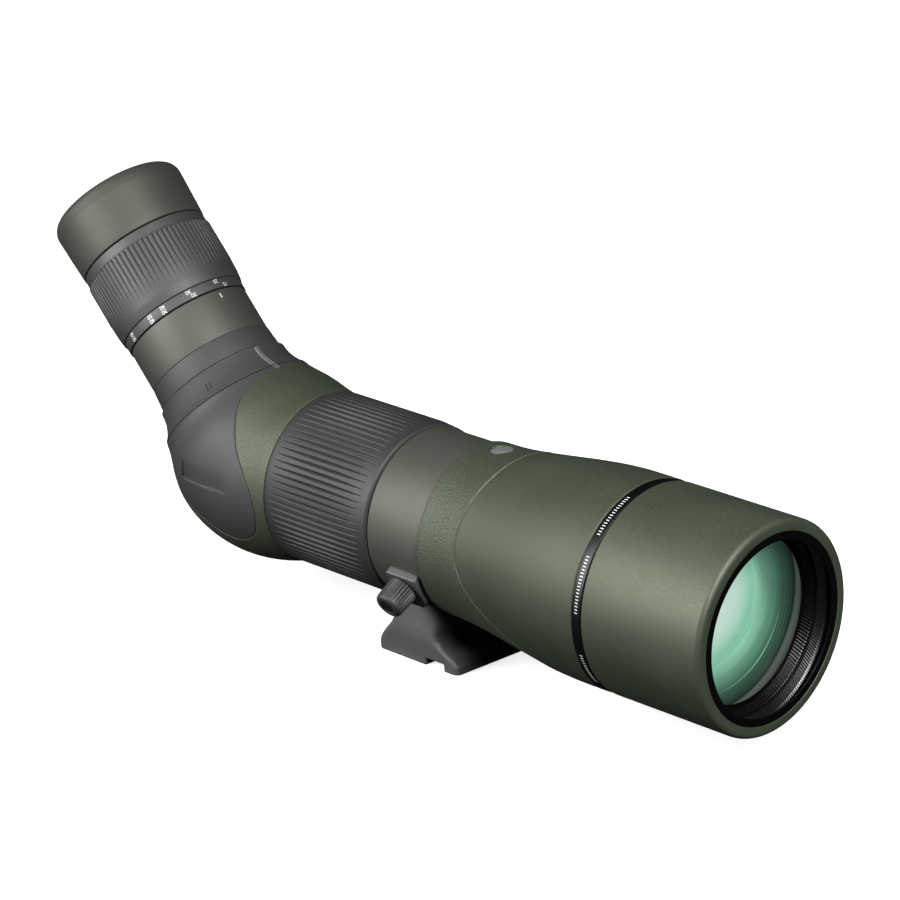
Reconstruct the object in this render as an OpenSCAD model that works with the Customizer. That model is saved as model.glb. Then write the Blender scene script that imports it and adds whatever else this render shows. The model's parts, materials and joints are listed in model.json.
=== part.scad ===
// Angled spotting scope with a rotating tripod collar, a wide focus ring,
// a sliding sunshade and a zoom eyepiece with a twist-up eyecup.
// Lengths are in millimetres. The origin is the mouth of the tripod socket,
// +Z is up and the objective looks along -Y.
// Stations on the main axis are counted forwards from the bend of the optical
// axis, and stations on the eyepiece axis are counted up from the same point.

/* [Layout] */
// Height of the optical axis above the base of the foot
axis_height = 52; // [51:0.1:54]
// Distance from the tripod socket back to the bend of the optical axis
socket_to_bend = 97.5; // [96:0.1:99]
// Angle of the eyepiece above the main axis
eye_angle = 45; // [42:1:48]

/* [Fits] */
// Radial clearance of a running fit
run_gap = 0.05; // [0.03:0.01:0.08]
// Clearance between outside pieces that move past each other
body_gap = 0.5; // [0.4:0.1:0.7]

/* [Prism housing] */
// Radius of the bulge around the bend
housing_r = 37.3; // [37:0.1:38]
// Station of the housing's front face
housing_front = 33.4; // [33:0.1:33.5]
// Radius of the housing at its front face
housing_front_r = 33.3; // [33:0.1:33.6]
// Thickness of the armour and of the prism cover
skin = 2.2; // [1.8:0.1:2.4]
// Radius of the prism chamber
chamber_r = 31.5; // [31:0.1:32]

/* [Tube and focus] */
// Outside radius of the main tube
tube_r = 28.9; // [28.7:0.1:29]
// Wall of the main tube
tube_wall = 2.4; // [2.2:0.1:2.6]
// Front end of the focus ring
focus_end = 87.7; // [87:0.1:88]
// Outside radius of the focus ring
focus_r = 33.8; // [33.6:0.1:34]
// Number of flutes round the focus ring
focus_flutes = 72; // [48:1:80]
// Depth of a focus flute
focus_flute_depth = 0.95; // [0.6:0.05:1.1]
// Travel of the focusing lens to either side
focus_travel = 6; // [4:0.5:6]

/* [Tripod collar] */
// Front end of the collar
collar_end = 115.2; // [115:0.1:115.3]
// Outside radius of the collar
collar_r = 32.4; // [32.2:0.1:32.6]
// Station of the middle of the foot
foot_station = 102.3; // [102:0.1:103]
// Length of the foot's base along the scope
foot_length = 40; // [38:0.5:42]
// Width of the foot's base
foot_width = 38.5; // [36:0.5:40]
// Length of the foot's neck along the scope
neck_length = 22.8; // [22:0.2:24]
// Radius of the tapped hole for a quarter-inch tripod screw
socket_r = 2.55; // [2.5:0.01:2.6]
// Depth of the tapped hole
socket_depth = 9; // [8:0.5:10]

/* [Collar lock] */
// Angle of the lock knob down from the top of the collar
knob_angle = 121; // [119:1:123]
// Station of the lock knob
knob_station = 105.3; // [105:0.1:106]
// Number of ribs on the lock knob
knob_ribs = 26; // [18:1:30]

/* [Objective] */
// Radius of the barrel behind its flare
barrel_neck_r = 33.7; // [33.5:0.1:34]
// Outside radius of the barrel and the sunshade at the front
barrel_r = 40.2; // [40:0.1:40.5]
// Station where the flare begins
flare_start = 118; // [117:1:120]
// Station where the flare ends
flare_end = 188; // [185:1:190]
// Station where the painted barrel ends at the trim ring
barrel_end = 198.4; // [198:0.1:199]
// Width of the trim ring
trim_width = 5.6; // [5:0.1:6]
// Radius of the nose under the sunshade
nose_r = 38; // [37.8:0.1:38]
// Front end of the nose
nose_end = 247.8; // [247:0.1:248]
// Front end of the sunshade
shade_end = 257.5; // [257:0.1:258]
// Radius of the sunshade's mouth
shade_mouth_r = 35.5; // [35:0.1:35.5]
// Clear radius of the objective lens, half of its 65 mm aperture
aperture_r = 32.5; // [32:0.1:32.6]

/* [Eyepiece] */
// Lower end of the eyepiece lock ring
lock_start = 23.6; // [23.5:0.1:23.8]
// Upper end of the eyepiece lock ring
lock_end = 35; // [34.8:0.1:35.1]
// Upper end of the eyepiece base ring
base_end = 44.2; // [44:0.1:44.5]
// Upper end of the olive eyepiece barrel
eye_barrel_end = 62.5; // [62:0.1:62.5]
// Upper end of the zoom scale ring
scale_end = 67.2; // [67:0.1:67.4]
// Upper end of the fluted part of the zoom ring
flute_end = 94.1; // [93:0.1:94.5]
// Upper end of the zoom ring
zoom_end = 98.1; // [98:0.1:98.3]
// Outside radius of the zoom ring
zoom_r = 27.3; // [27:0.1:27.5]
// Number of flutes round the zoom ring
zoom_flutes = 84; // [60:1:90]
// Depth of a zoom flute
zoom_flute_depth = 0.9; // [0.6:0.05:1]
// Travel of each zoom lens to either side
zoom_travel = 3; // [2:0.5:3]
// Outside radius of the eyecup
eyecup_r = 27.6; // [27:0.1:27.8]
// Upper end of the eyecup
eyecup_end = 123.4; // [122:0.1:123.5]

/* [Hidden] */
$fn = 120;

green = [0.30, 0.34, 0.27];
olive = [0.36, 0.35, 0.31];
charcoal = [0.27, 0.27, 0.28];
black = [0.06, 0.06, 0.06];
glass = [0.45, 0.70, 0.60, 0.5];
steel = [0.62, 0.63, 0.65];
brass = [0.72, 0.60, 0.30];

tube_bore = tube_r - tube_wall;
tube_start = 22;
tube_end = 126;
focus_start = housing_front + body_gap;
collar_start = focus_end + body_gap;
collar_bore = tube_r + run_gap;
barrel_start = collar_end + body_gap;
trim_end = barrel_end + trim_width;
shade_start = trim_end + body_gap;
shade_bore = nose_r + 0.4;
foot_middle = socket_to_bend - foot_station;
far = 400;

// Moves a piece drawn along +Z onto the main axis, with local +Y up.
module on_main_axis()
    translate([0, socket_to_bend, axis_height])
        rotate([90, 0, 0])
            children();

// Moves a piece drawn along +Z onto the eyepiece axis, with local -Y forwards and up.
module on_eye_axis()
    translate([0, socket_to_bend, axis_height])
        rotate([eye_angle - 90, 0, 0])
            children();

// Turns a radial direction at this angle from the top towards -X into local +Y.
module at_angle(angle)
    rotate([0, 0, angle])
        children();

// Round ring between two stations.
module ring(start, end, r_out, r_in)
    rotate_extrude()
        translate([r_in, start])
            square([r_out - r_in, end - start]);

// Solid of revolution from an outline of [radius, station] points.
module turned(outline)
    rotate_extrude()
        polygon(outline);

// Round pin that stands along local +Y.
module radial_pin(r, from, to)
    rotate([-90, 0, 0])
        translate([0, 0, from])
            cylinder(r = r, h = to - from);

// Slot that runs along the axis and opens along local +Y, with round ends.
module axial_slot(r, start, end, from, to) {
    for (station = [start, end])
        translate([0, 0, station])
            radial_pin(r, from, to);
    translate([-r, from, start])
        cube([2 * r, to - from, end - start]);
}

// Seal ring of round section.
module seal(r, station, section)
    translate([0, 0, station])
        rotate_extrude()
            translate([r, 0])
                circle(r = section, $fn = 24);

// Points of an arc from angle a to angle b.
function arc(centre, r, a, b, steps = 6) =
    [for (i = [0:steps]) centre + r * [cos(a + (b - a) * i / steps), sin(a + (b - a) * i / steps)]];

// Rounded face of a lens that bulges up from a station, inside this radius.
module lens_cap(r, station, face_r, rim) {
    rise = face_r - sqrt(face_r * face_r - r * r);
    intersection() {
        translate([0, 0, station - 1])
            cylinder(r = r + rim / 2, h = rise + 2);
        translate([0, 0, station + rise - face_r])
            sphere(r = face_r, $fn = 180);
    }
}

// Lens blank between two edge stations, with a sphere on each side.
// A positive radius bulges outwards inside a flat rim, and a negative one is hollow.
module lens(r, start, end, front_r, back_r, rim = 1) {
    difference() {
        union() {
            translate([0, 0, start])
                cylinder(r = r, h = end - start);
            if (front_r > 0)
                lens_cap(r - rim, end, front_r, rim);
            if (back_r > 0)
                mirror([0, 0, 1])
                    lens_cap(r - rim, -start, back_r, rim);
        }
        if (front_r < 0)
            translate([0, 0, end + sqrt(front_r * front_r - r * r)])
                sphere(r = -front_r, $fn = 180);
        if (back_r < 0)
            translate([0, 0, start - sqrt(back_r * back_r - r * r)])
                sphere(r = -back_r, $fn = 180);
    }
}

// Part of a wheel with a sharp rim, which cuts a flute that runs out to a point.
module flute_cutter(wheel_r, rim_depth, half_turn)
    rotate([90, 0, 0])
        rotate([0, 0, 180 - half_turn])
            rotate_extrude(angle = 2 * half_turn, $fn = 360)
                polygon([
                    [wheel_r - rim_depth, -rim_depth],
                    [wheel_r, 0],
                    [wheel_r - rim_depth, rim_depth]
                ]);

// Flutes all round a ring, deepest at one station.
module flutes(count, ring_r, depth, station, run_out) {
    wheel_r = run_out * run_out / depth / 2;
    half_turn = asin(run_out / wheel_r) * 1.15;
    for (i = [0:count - 1])
        rotate([0, 0, 360 * i / count])
            translate([ring_r - depth + wheel_r, 0, station])
                flute_cutter(wheel_r, depth + 0.25, half_turn);
}

// Smooth step from 0 to 1.
function ease(x) = x <= 0 ? 0 : x >= 1 ? 1 : x * x * (3 - 2 * x);

// Outside radius of the objective barrel at a station.
function barrel_profile(station) =
    barrel_neck_r + (barrel_r - barrel_neck_r) * ease((station - flare_start) / (flare_end - flare_start));

barrel_stations = concat([barrel_start], [for (i = [0:16]) flare_start + (flare_end - flare_start) * i / 16]);

// Tripod collar: a ring that turns on the main tube, and the foot under it.
knob_reach = 45.4;
boss_r = 34.9;
pad_r = 3;
screw_r = 2.5;

// Places a piece drawn along +Z on the lock knob's axis, with 0 at the optical axis.
module on_knob_axis()
    on_main_axis()
        translate([0, 0, knob_station])
            at_angle(knob_angle)
                rotate([-90, 0, 0])
                    children();

module collar_ring() {
    edge = 0.5;
    color(olive)
        difference() {
            on_main_axis()
                turned([
                    [collar_bore, collar_start],
                    [collar_r - edge, collar_start],
                    [collar_r, collar_start + edge],
                    [collar_r, collar_end - edge],
                    [collar_r - edge, collar_end],
                    [collar_bore, collar_end]
                ]);
            on_knob_axis()
                cylinder(r = pad_r + 0.1, h = knob_reach);
            screw_holes(1.25);
        }
}

screw_spread = 18;
screw_y = [foot_middle - 8.4, foot_middle + 6.8];

// Holes or screws that hold the foot to the collar.
module screw_holes(r)
    for (y = screw_y)
        for (x = [-screw_spread / 2, screw_spread / 2])
            translate([x, y, 0])
                cylinder(r = r, h = axis_height - tube_r - 0.6);

// Side outline of the foot: a flat base, a sloping flank and an upright neck.
function foot_side(half_base, half_neck) =
    let (
        flank = 50,
        lip = 2.9,
        bend = 5,
        shoulder = 3,
        slope_top = arc([half_neck + bend, 16], bend, 180, 180 + flank),
        slope_low = arc([half_base - shoulder, lip], shoulder, flank, 0)
    )
    concat([[half_neck, axis_height]], slope_top, slope_low, [[half_base, 0]]);

// Cross outline of the foot: sides that swell gently above the base.
function foot_cross(half_width) =
    concat([[half_width - 0.6, 0]], arc([half_width - 52 + 1.5, 12], 52, -13, 6), [[half_width - 2, axis_height]]);

function mirrored(points) =
    concat(points, [for (i = [len(points) - 1:-1:0]) [-points[i][0], points[i][1]]]);

slot_start = 106;
slot_end = 115.4;
slot_height = 3;
bush_r = 5;

module tripod_foot() {
    boss_start = 98.5;
    boss_end = 113.3;
    boss_half = 6.4;
    boss_low = 13.5;
    boss_span = boss_low + boss_half;
    boss_round = 4;
    corner = 1.6;
    color(charcoal)
        difference() {
            union() {
                intersection() {
                    translate([0, foot_middle, 0])
                        rotate([90, 0, 90])
                            linear_extrude(height = 2 * foot_width, center = true)
                                polygon(mirrored(foot_side(foot_length / 2, neck_length / 2)));
                    translate([0, foot_middle + foot_length, 0])
                        rotate([90, 0, 0])
                            linear_extrude(height = 2 * foot_length)
                                polygon(mirrored(foot_cross(foot_width / 2)));
                    translate([-foot_width, foot_middle - foot_length, 0])
                        cube([2 * foot_width, 2 * foot_length, axis_height - collar_r * 0.72]);
                }
                // The boss that carries the lock knob runs down into the neck.
                on_main_axis()
                    at_angle(knob_angle)
                        intersection() {
                            translate([0, 0, boss_start])
                                linear_extrude(height = boss_end - boss_start)
                                    polygon(concat(
                                        [[-boss_low, 0], [boss_half, 0], [boss_half, boss_r]],
                                        arc([boss_round - boss_low, boss_r - boss_round], boss_round, 90, 180)
                                    ));
                            union() {
                                translate([-boss_low, 0, boss_start + corner])
                                    cube([boss_span, boss_r, boss_end - boss_start - 2 * corner]);
                                translate([-boss_low, 0, boss_start])
                                    cube([boss_span, boss_r - corner, boss_end - boss_start]);
                                for (station = [boss_start + corner, boss_end - corner])
                                    translate([-boss_low, boss_r - corner, station])
                                        rotate([0, 90, 0])
                                            cylinder(r = corner, h = boss_span);
                            }
                        }
            }
            on_main_axis()
                cylinder(r = collar_r, h = far);
            on_knob_axis()
                cylinder(r = screw_r + run_gap, h = far);
            cylinder(r = bush_r, h = socket_depth);
            translate([-foot_width, socket_to_bend - slot_end, 0])
                cube([2 * foot_width, slot_end - slot_start, slot_height]);
            screw_holes(1.25);
            for (y = screw_y)
                for (x = [-screw_spread / 2, screw_spread / 2])
                    translate([x, y, 0])
                        cylinder(r = 2.6, h = 6);
        }
}

module foot_screws() {
    head_start = 3.4;
    head_height = 2.6;
    socket_across = 2;
    color(steel)
        for (y = screw_y)
            for (x = [-screw_spread / 2, screw_spread / 2])
                translate([x, y, 0])
                    difference() {
                        union() {
                            translate([0, 0, head_start])
                                cylinder(r = 2.3, h = head_height);
                            translate([0, 0, head_start + head_height])
                                cylinder(r = 1.2, h = axis_height - tube_r - 1 - head_start - head_height);
                        }
                        translate([0, 0, head_start - 1])
                            cylinder(d = socket_across * 2 / sqrt(3), h = 2.4, $fn = 6);
                    }
}

module thread_bush()
    color(steel)
        difference() {
            cylinder(r = bush_r, h = socket_depth);
            cylinder(r = socket_r, h = far);
        }

// Collar lock: the knob's screw presses its soft tip against the main tube.
pad_start = tube_r + 0.3;
pad_top = 31.1;
screw_length = 8;

module brake_pad() {
    edge = 0.4;
    color(black)
        on_knob_axis()
            turned([
                [0, pad_start],
                [pad_r - edge, pad_start],
                [pad_r, pad_start + edge],
                [pad_r, pad_top],
                [0, pad_top]
            ]);
}

module lock_screw()
    color(steel)
        on_knob_axis()
            translate([0, 0, pad_top])
                cylinder(r = screw_r, h = screw_length);

module lock_knob() {
    base_at = boss_r + body_gap;
    base_r = 6;
    tip_r = 5.6;
    rim = 1.3;
    rib_depth = 0.45;
    color(charcoal)
        on_knob_axis()
            difference() {
                turned([
                    [0, base_at],
                    [base_r - 0.5, base_at],
                    [base_r, base_at + 0.5],
                    [tip_r, knob_reach - rim],
                    [tip_r - 0.4, knob_reach - 0.35],
                    [tip_r - rim, knob_reach],
                    [0, knob_reach]
                ]);
                for (i = [0:knob_ribs - 1])
                    rotate([0, 0, 360 * i / knob_ribs])
                        translate([base_r - rib_depth, 0, base_at - 1])
                            rotate([0, 0, 45])
                                cube([1, 1, knob_reach - rim - base_at]);
                translate([0, 0, pad_top])
                    cylinder(r = screw_r, h = screw_length);
                translate([0, 0, knob_reach - 0.4])
                    cylinder(r = tip_r - rim - 0.4, h = 1);
            }
}

// Main tube: carries the focus ring and the collar, and joins housing and barrel.
follower_station = 58;
follower_r = 2;
seal_stations = [37, 84];
seal_section = 0.7;

module main_tube()
    color(black)
        on_main_axis()
            difference() {
                ring(tube_start, tube_end, tube_r, tube_bore);
                axial_slot(
                    follower_r + 0.3,
                    follower_station - focus_travel,
                    follower_station + focus_travel,
                    tube_bore - 3,
                    tube_r + 2
                );
                for (station = seal_stations)
                    ring(station - 0.8, station + 0.8, tube_r + 1, tube_r - 2 * seal_section - 0.05);
            }

module focus_seals()
    color(black)
        on_main_axis()
            for (station = seal_stations)
                seal(tube_r - seal_section - 0.05, station, seal_section);

sleeve_r = 31.4;

module focus_ring() {
    rim = 0.6;
    taper_at = 80;
    color(charcoal)
        on_main_axis()
            difference() {
                turned([
                    [sleeve_r, focus_start],
                    [focus_r - rim, focus_start],
                    [focus_r - 0.1, focus_start + rim],
                    [focus_r, focus_start + 3],
                    [focus_r, taper_at],
                    [focus_r - 0.6, focus_end - 0.4],
                    [focus_r - 1, focus_end],
                    [sleeve_r, focus_end]
                ]);
                flutes(focus_flutes, focus_r, focus_flute_depth, (focus_start + taper_at) / 2 + 1, 20.5);
            }
}

module focus_cam_sleeve()
    color(brass)
        on_main_axis()
            difference() {
                ring(focus_start + 0.3, focus_end - 0.3, sleeve_r, tube_r + run_gap);
                ring(
                    follower_station - focus_travel - follower_r - 1,
                    follower_station + focus_travel + follower_r + 1,
                    sleeve_r - 0.8,
                    tube_r
                );
            }

focus_cell_half = 8;
focus_lens_r = 22;

module focus_cell()
    color(black)
        on_main_axis() {
            difference() {
                ring(
                    follower_station - focus_cell_half,
                    follower_station + focus_cell_half,
                    tube_bore - run_gap,
                    focus_lens_r - 2
                );
                ring(
                    follower_station - focus_cell_half + 3,
                    follower_station + focus_cell_half + 1,
                    focus_lens_r,
                    focus_lens_r - 3
                );
            }
            translate([0, 0, follower_station])
                radial_pin(follower_r, tube_bore - 2, sleeve_r - 1.2);
        }

module focus_lens()
    color(glass)
        on_main_axis()
            lens(focus_lens_r, follower_station - focus_cell_half + 3, follower_station + 4, -70, -90);

// Objective barrel with its armour, trim ring and lens cell.
armour_depth = 1.2;
armour_low = 134.8;
armour_turn = 9;
armour_sweep = 0.0222;
armour_rise = 0.0069;
cell_r = 35.4;
cell_start = 213;

// Front edge of the armour in side view, as [station, height].
function armour_edge() =
    [for (height = [42:-3:-45])
        [armour_low + (height > armour_turn ? armour_rise : armour_sweep) * pow(height - armour_turn, 2), height]];

// Space behind the armour's front edge, right across the barrel.
module armour_region()
    rotate([0, 90, 0])
        rotate([0, 0, 90])
            linear_extrude(height = far, center = true)
                polygon(concat(
                    [[42, barrel_start - 5]],
                    [for (point = armour_edge()) [point[1], point[0]]],
                    [[-45, barrel_start - 5]]
                ));

// Layer under the barrel's outer surface.
module barrel_layer(depth)
    turned(concat(
        [for (s = barrel_stations) [barrel_profile(s), s]],
        [for (i = [len(barrel_stations) - 1:-1:0])
            [barrel_profile(barrel_stations[i]) - depth, barrel_stations[i]]]
    ));

module armour_form()
    intersection() {
        barrel_layer(armour_depth);
        armour_region();
    }

module barrel_armour()
    color(green)
        on_main_axis()
            armour_form();

module objective_barrel() {
    wall = 3.4;
    edge = 0.5;
    color(green)
        on_main_axis()
            difference() {
                turned(concat(
                    [[tube_r, barrel_start]],
                    [for (s = barrel_stations) [barrel_profile(s), s]],
                    [
                        [barrel_r, barrel_end - edge],
                        [barrel_r - edge, barrel_end],
                        [nose_r, barrel_end],
                        [nose_r, nose_end],
                        [cell_r, nose_end],
                        [cell_r, cell_start],
                        [barrel_r - wall - 3, cell_start]
                    ],
                    [for (s = [190:-9:136]) [barrel_profile(s) - wall - 1.4, s]],
                    [[tube_bore, tube_end + 1], [tube_bore, tube_end], [tube_r, tube_end]]
                ));
                armour_form();
                ring(glide_start, glide_end, nose_r + 1, nose_r - 0.8);
            }
}

glide_start = 228;
glide_end = 236;

module shade_glide_band()
    color("dimgray")
        on_main_axis()
            ring(glide_start, glide_end, shade_bore - run_gap, nose_r - 0.8);

module trim_ring() {
    edge = 0.4;
    color(black)
        on_main_axis()
            turned([
                [nose_r, barrel_end],
                [barrel_r - 0.3 - edge, barrel_end],
                [barrel_r - 0.3, barrel_end + edge],
                [barrel_r - 0.3, trim_end - edge],
                [barrel_r - 0.3 - edge, trim_end],
                [nose_r, trim_end]
            ]);
}

lens_seat_r = aperture_r + 0.8;
front_edge = 243.4;
front_edge_start = 238;
middle_start = 230;
spacer_start = 226.5;
rear_start = 219;
cement_r = 220;

module objective_cell()
    color(black)
        on_main_axis()
            difference() {
                ring(cell_start, front_edge, cell_r, aperture_r - 2);
                ring(rear_start, front_edge + 1, lens_seat_r, aperture_r - 3);
                ring(232, 233.6, cell_r + 1, cell_r - 1.15);
            }

module objective_seal()
    color(black)
        on_main_axis()
            seal(cell_r - 0.6, 232.8, 0.55);

module front_lens()
    color(glass)
        on_main_axis()
            lens(lens_seat_r, front_edge_start, front_edge, 150, cement_r);

module middle_lens()
    color(glass)
        on_main_axis()
            lens(lens_seat_r, middle_start, front_edge_start - 0.1, -cement_r, -300);

module lens_spacer()
    color(black)
        on_main_axis()
            ring(spacer_start, middle_start, lens_seat_r, aperture_r - 0.7);

module rear_lens()
    color(glass)
        on_main_axis()
            lens(lens_seat_r, rear_start, spacer_start, 260, 400, rim = 3);

// Zigzag of ridges along a straight inner wall, as [radius, station] points.
function ridges(from, to, count, depth) =
    [for (i = [0:2 * count])
        from + (to - from) * i / count / 2 + (i % 2 == 1 ? [depth, 0] : [0, 0])];

module lens_retaining_ring()
    color(black)
        on_main_axis()
            turned(concat(
                [[cell_r, nose_end - 0.2], [cell_r, front_edge], [aperture_r, front_edge]],
                ridges([aperture_r, front_edge + 0.8], [cell_r - 0.8, nose_end - 0.2], 5, 0.35)
            ));

// Sunshade: slides forwards over the nose.
liner_r = 36.3;
liner_start = 248.6;
liner_end = 255;

module sunshade() {
    rim = 2.2;
    heel = 0.9;
    color(green)
        on_main_axis()
            turned(concat(
                [[shade_bore, shade_start]],
                arc([barrel_r - heel, shade_start + heel], heel, -90, 0),
                arc([barrel_r - rim, shade_end - rim], rim, 0, 90),
                [
                    [shade_mouth_r, shade_end],
                    [shade_mouth_r, liner_end],
                    [shade_bore, liner_end]
                ]
            ));
}

// Black liner: ridges inside the sunshade and a flat lip round its mouth.
module shade_liner() {
    web = 0.6;
    lip_front = shade_end - 0.1;
    lip_back = lip_front - 0.9;
    lip_r = aperture_r - 0.1;
    throat_r = shade_mouth_r - 1.1;
    color(black)
        on_main_axis()
            turned(concat(
                [[shade_bore, liner_start]],
                ridges([liner_r, liner_start], [liner_r, liner_end - web], 7, 0.4),
                [
                    [throat_r, liner_end - web],
                    [throat_r, lip_back],
                    [lip_r, lip_back],
                    [lip_r, lip_front],
                    [shade_mouth_r, lip_front],
                    [shade_mouth_r, liner_end],
                    [shade_bore, liner_end]
                ]
            ));
}

// Prism housing: a bulge round the bend, blended to the tube and to the eyepiece.
neck_top = lock_start - body_gap;
neck_r = 31.9;

// Angle on the bulge where a straight flank to this point touches it.
function touch_angle(r, station, point_r) =
    atan2(point_r, station) + acos(r / norm([station, point_r]));

// Outside form of the housing, or of a smaller one inside it.
module housing_form(inset) {
    r = housing_r - inset;
    shoulder = 9;
    front_r = housing_front_r - inset;
    drop = r - front_r;
    nose_from = housing_front - 2.6;
    touch = touch_angle(r, neck_top, neck_r - inset);
    difference() {
        union() {
            on_main_axis() {
                sphere(r = r);
                turned(concat(
                    [[0, 0], [r, 0], [r, shoulder]],
                    [for (i = [1:6])
                        [r - (drop - 1.5) * pow(i / 6, 2), shoulder + (nose_from - shoulder) * i / 6]],
                    [[front_r, housing_front], [0, housing_front]]
                ));
            }
            on_eye_axis()
                turned([
                    [0, 0],
                    [r * sin(touch), r * cos(touch)],
                    [neck_r - inset, neck_top],
                    [0, neck_top]
                ]);
        }
        on_main_axis()
            translate([0, 0, housing_front])
                cylinder(r = 2 * r, h = far);
        on_eye_axis()
            translate([0, 0, neck_top])
                cylinder(r = 2 * r, h = far);
    }
}

// Side outline of the prism cover, as [station, height] from the bend.
function cover_outline() =
    concat(
        [[8.2, 60], [8.2, 36]],
        arc([30, 34], 21.6, 180, 214, 5),
        arc([10.6, -6.4], 17.6, 34, -66, 9),
        [[4, -22.4], [-8, -16.4], [-24, -9], [-60, -4], [-60, 60]]
    );

// Space of the prism cover, right across the housing.
module cover_region()
    on_main_axis()
        rotate([0, 90, 0])
            rotate([0, 0, 90])
                linear_extrude(height = far, center = true)
                    polygon([for (point = cover_outline()) [point[1], point[0]]]);

module housing_skin()
    difference() {
        housing_form(0);
        housing_form(skin);
    }

module housing_armour()
    color(green)
        difference() {
            housing_skin();
            cover_region();
        }

module prism_cover()
    color(charcoal) {
        intersection() {
            housing_skin();
            cover_region();
        }
    }

socket_out = 25.5;
socket_bore = 22.5;
socket_start = 12;
ride_r = 24;

module prism_housing()
    color("gray")
        difference() {
            housing_form(skin);
            on_main_axis() {
                sphere(r = chamber_r);
                cylinder(r = tube_bore, h = far);
                translate([0, 0, tube_start])
                    cylinder(r = tube_r, h = far);
            }
            on_eye_axis()
                translate([0, 0, socket_start])
                    cylinder(r = socket_out, h = far);
        }

// Prism seat: a plate in front of the prism, the prism and the strap that holds it.
plate_station = 14;
plate_thick = 2.6;
prism_half = 13;
prism_low = -12;
prism_top = 20;
prism_back = 2;
prism_exit = 9.4;
strap_thick = 1.4;

module prism_plate()
    color(black)
        on_main_axis()
            difference() {
                intersection() {
                    translate([0, 0, plate_station])
                        cylinder(r = chamber_r, h = plate_thick);
                    sphere(r = chamber_r);
                }
                cylinder(r = 12, h = far);
                for (x = [-1, 1])
                    translate([x * (prism_half + 4.4), 0, 0])
                        cylinder(r = 1, h = far);
            }

// Station of the prism's exit face at a height above the bend.
function exit_station(height) = (height * sin(eye_angle) - prism_exit) / cos(eye_angle);

// Side outline of the prism, as [station, height]: entry face, blunted top,
// exit face square to the eyepiece axis, and the roof side below.
function prism_outline() =
    [
        [plate_station, prism_low],
        [plate_station, prism_top],
        [exit_station(prism_top), prism_top],
        [exit_station(prism_back), prism_back]
    ];

module roof_prism()
    color(glass)
        on_main_axis()
            rotate([0, 90, 0])
                rotate([0, 0, 90])
                    linear_extrude(height = 2 * prism_half, center = true)
                        polygon([for (point = prism_outline()) [point[1], point[0]]]);

// A strap across the sides of the prism with two lugs on the plate.
module prism_strap()
    color(steel)
        on_main_axis()
            for (side = [0, 1])
                mirror([side, 0, 0]) {
                    translate([prism_half, -5, 2])
                        cube([strap_thick, 10, plate_station - 2]);
                    difference() {
                        translate([prism_half, -5, plate_station - strap_thick])
                            cube([7.4, 10, strap_thick]);
                        translate([prism_half + 4.4, 0, 0])
                            cylinder(r = 1, h = far);
                    }
                }

module strap_screws()
    color(steel)
        on_main_axis()
            for (x = [-1, 1])
                translate([x * (prism_half + 4.4), 0, 0]) {
                    translate([0, 0, plate_station - strap_thick - 1.4])
                        cylinder(r = 1.9, h = 1.4);
                    translate([0, 0, plate_station - strap_thick])
                        cylinder(r = 1, h = strap_thick + plate_thick - 0.4);
                }

// Eyepiece: socket, lock ring, fixed barrel, zoom ring and eyecup.
module bayonet_socket()
    color(black)
        on_eye_axis() {
            ring(socket_start, neck_top, socket_out, socket_bore);
            ring(neck_top, lock_end - 0.3, ride_r, socket_bore);
        }

// Outside radius of the flared lock ring.
function lock_profile(station) =
    27.6 + (neck_r - 0.2 - 27.6) * pow((lock_end - station) / (lock_end - lock_start), 2);

module lock_ring()
    color(charcoal)
        on_eye_axis()
            turned(concat(
                [[ride_r + run_gap, lock_end], [ride_r + run_gap, lock_start]],
                [for (i = [0:10])
                    let (s = lock_start + (lock_end - lock_start) * i / 10)
                    [lock_profile(s), s]]
            ));

// Raised mark along the flare of the lock ring.
module lock_index_bar() {
    half = 1;
    proud = 0.6;
    color(charcoal)
        on_eye_axis()
            rotate([0, 0, 180])
                intersection() {
                    translate([-half, 0, lock_start])
                        cube([2 * half, 40, lock_end - lock_start]);
                    turned(concat(
                        [for (i = [0:10])
                            let (s = lock_start + (lock_end - lock_start) * i / 10)
                            [lock_profile(s) + proud, s]],
                        [for (i = [10:-1:0])
                            let (s = lock_start + (lock_end - lock_start) * i / 10)
                            [lock_profile(s), s]]
                    ));
                }
}

eye_tube_r = 20.5;
eye_tube_bore = 18.4;
eye_tube_end = 111.5;
spigot_start = 13;

module eyepiece_base_ring()
    color(charcoal)
        on_eye_axis()
            turned([
                [eye_tube_r, spigot_start],
                [socket_bore, spigot_start],
                [socket_bore, lock_end + 0.4],
                [26.5, lock_end + 0.4],
                [25.7, base_end],
                [eye_tube_r, base_end]
            ]);

module eyepiece_barrel()
    color(olive)
        on_eye_axis()
            turned([
                [eye_tube_r, base_end],
                [25.4, base_end],
                [25.6, base_end + 0.4],
                [25.6, eye_barrel_end - 0.4],
                [25.3, eye_barrel_end],
                [eye_tube_r, eye_barrel_end]
            ]);

front_pin = 70;
rear_pin = 89.5;
zoom_pin_r = 1.2;
cam_r = 22.6;

module eyepiece_tube()
    color(black)
        on_eye_axis()
            difference() {
                ring(spigot_start, eye_tube_end, eye_tube_r, eye_tube_bore);
                for (station = [front_pin, rear_pin])
                    axial_slot(
                        zoom_pin_r + 0.3,
                        station - zoom_travel,
                        station + zoom_travel,
                        eye_tube_bore - 2,
                        eye_tube_r + 1
                    );
            }

module field_lens()
    color(glass)
        on_eye_axis()
            lens(eye_tube_bore, 22, 26, 60, 80);

module field_stop()
    color(black)
        on_eye_axis()
            ring(48, 50, eye_tube_bore, 13);

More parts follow.
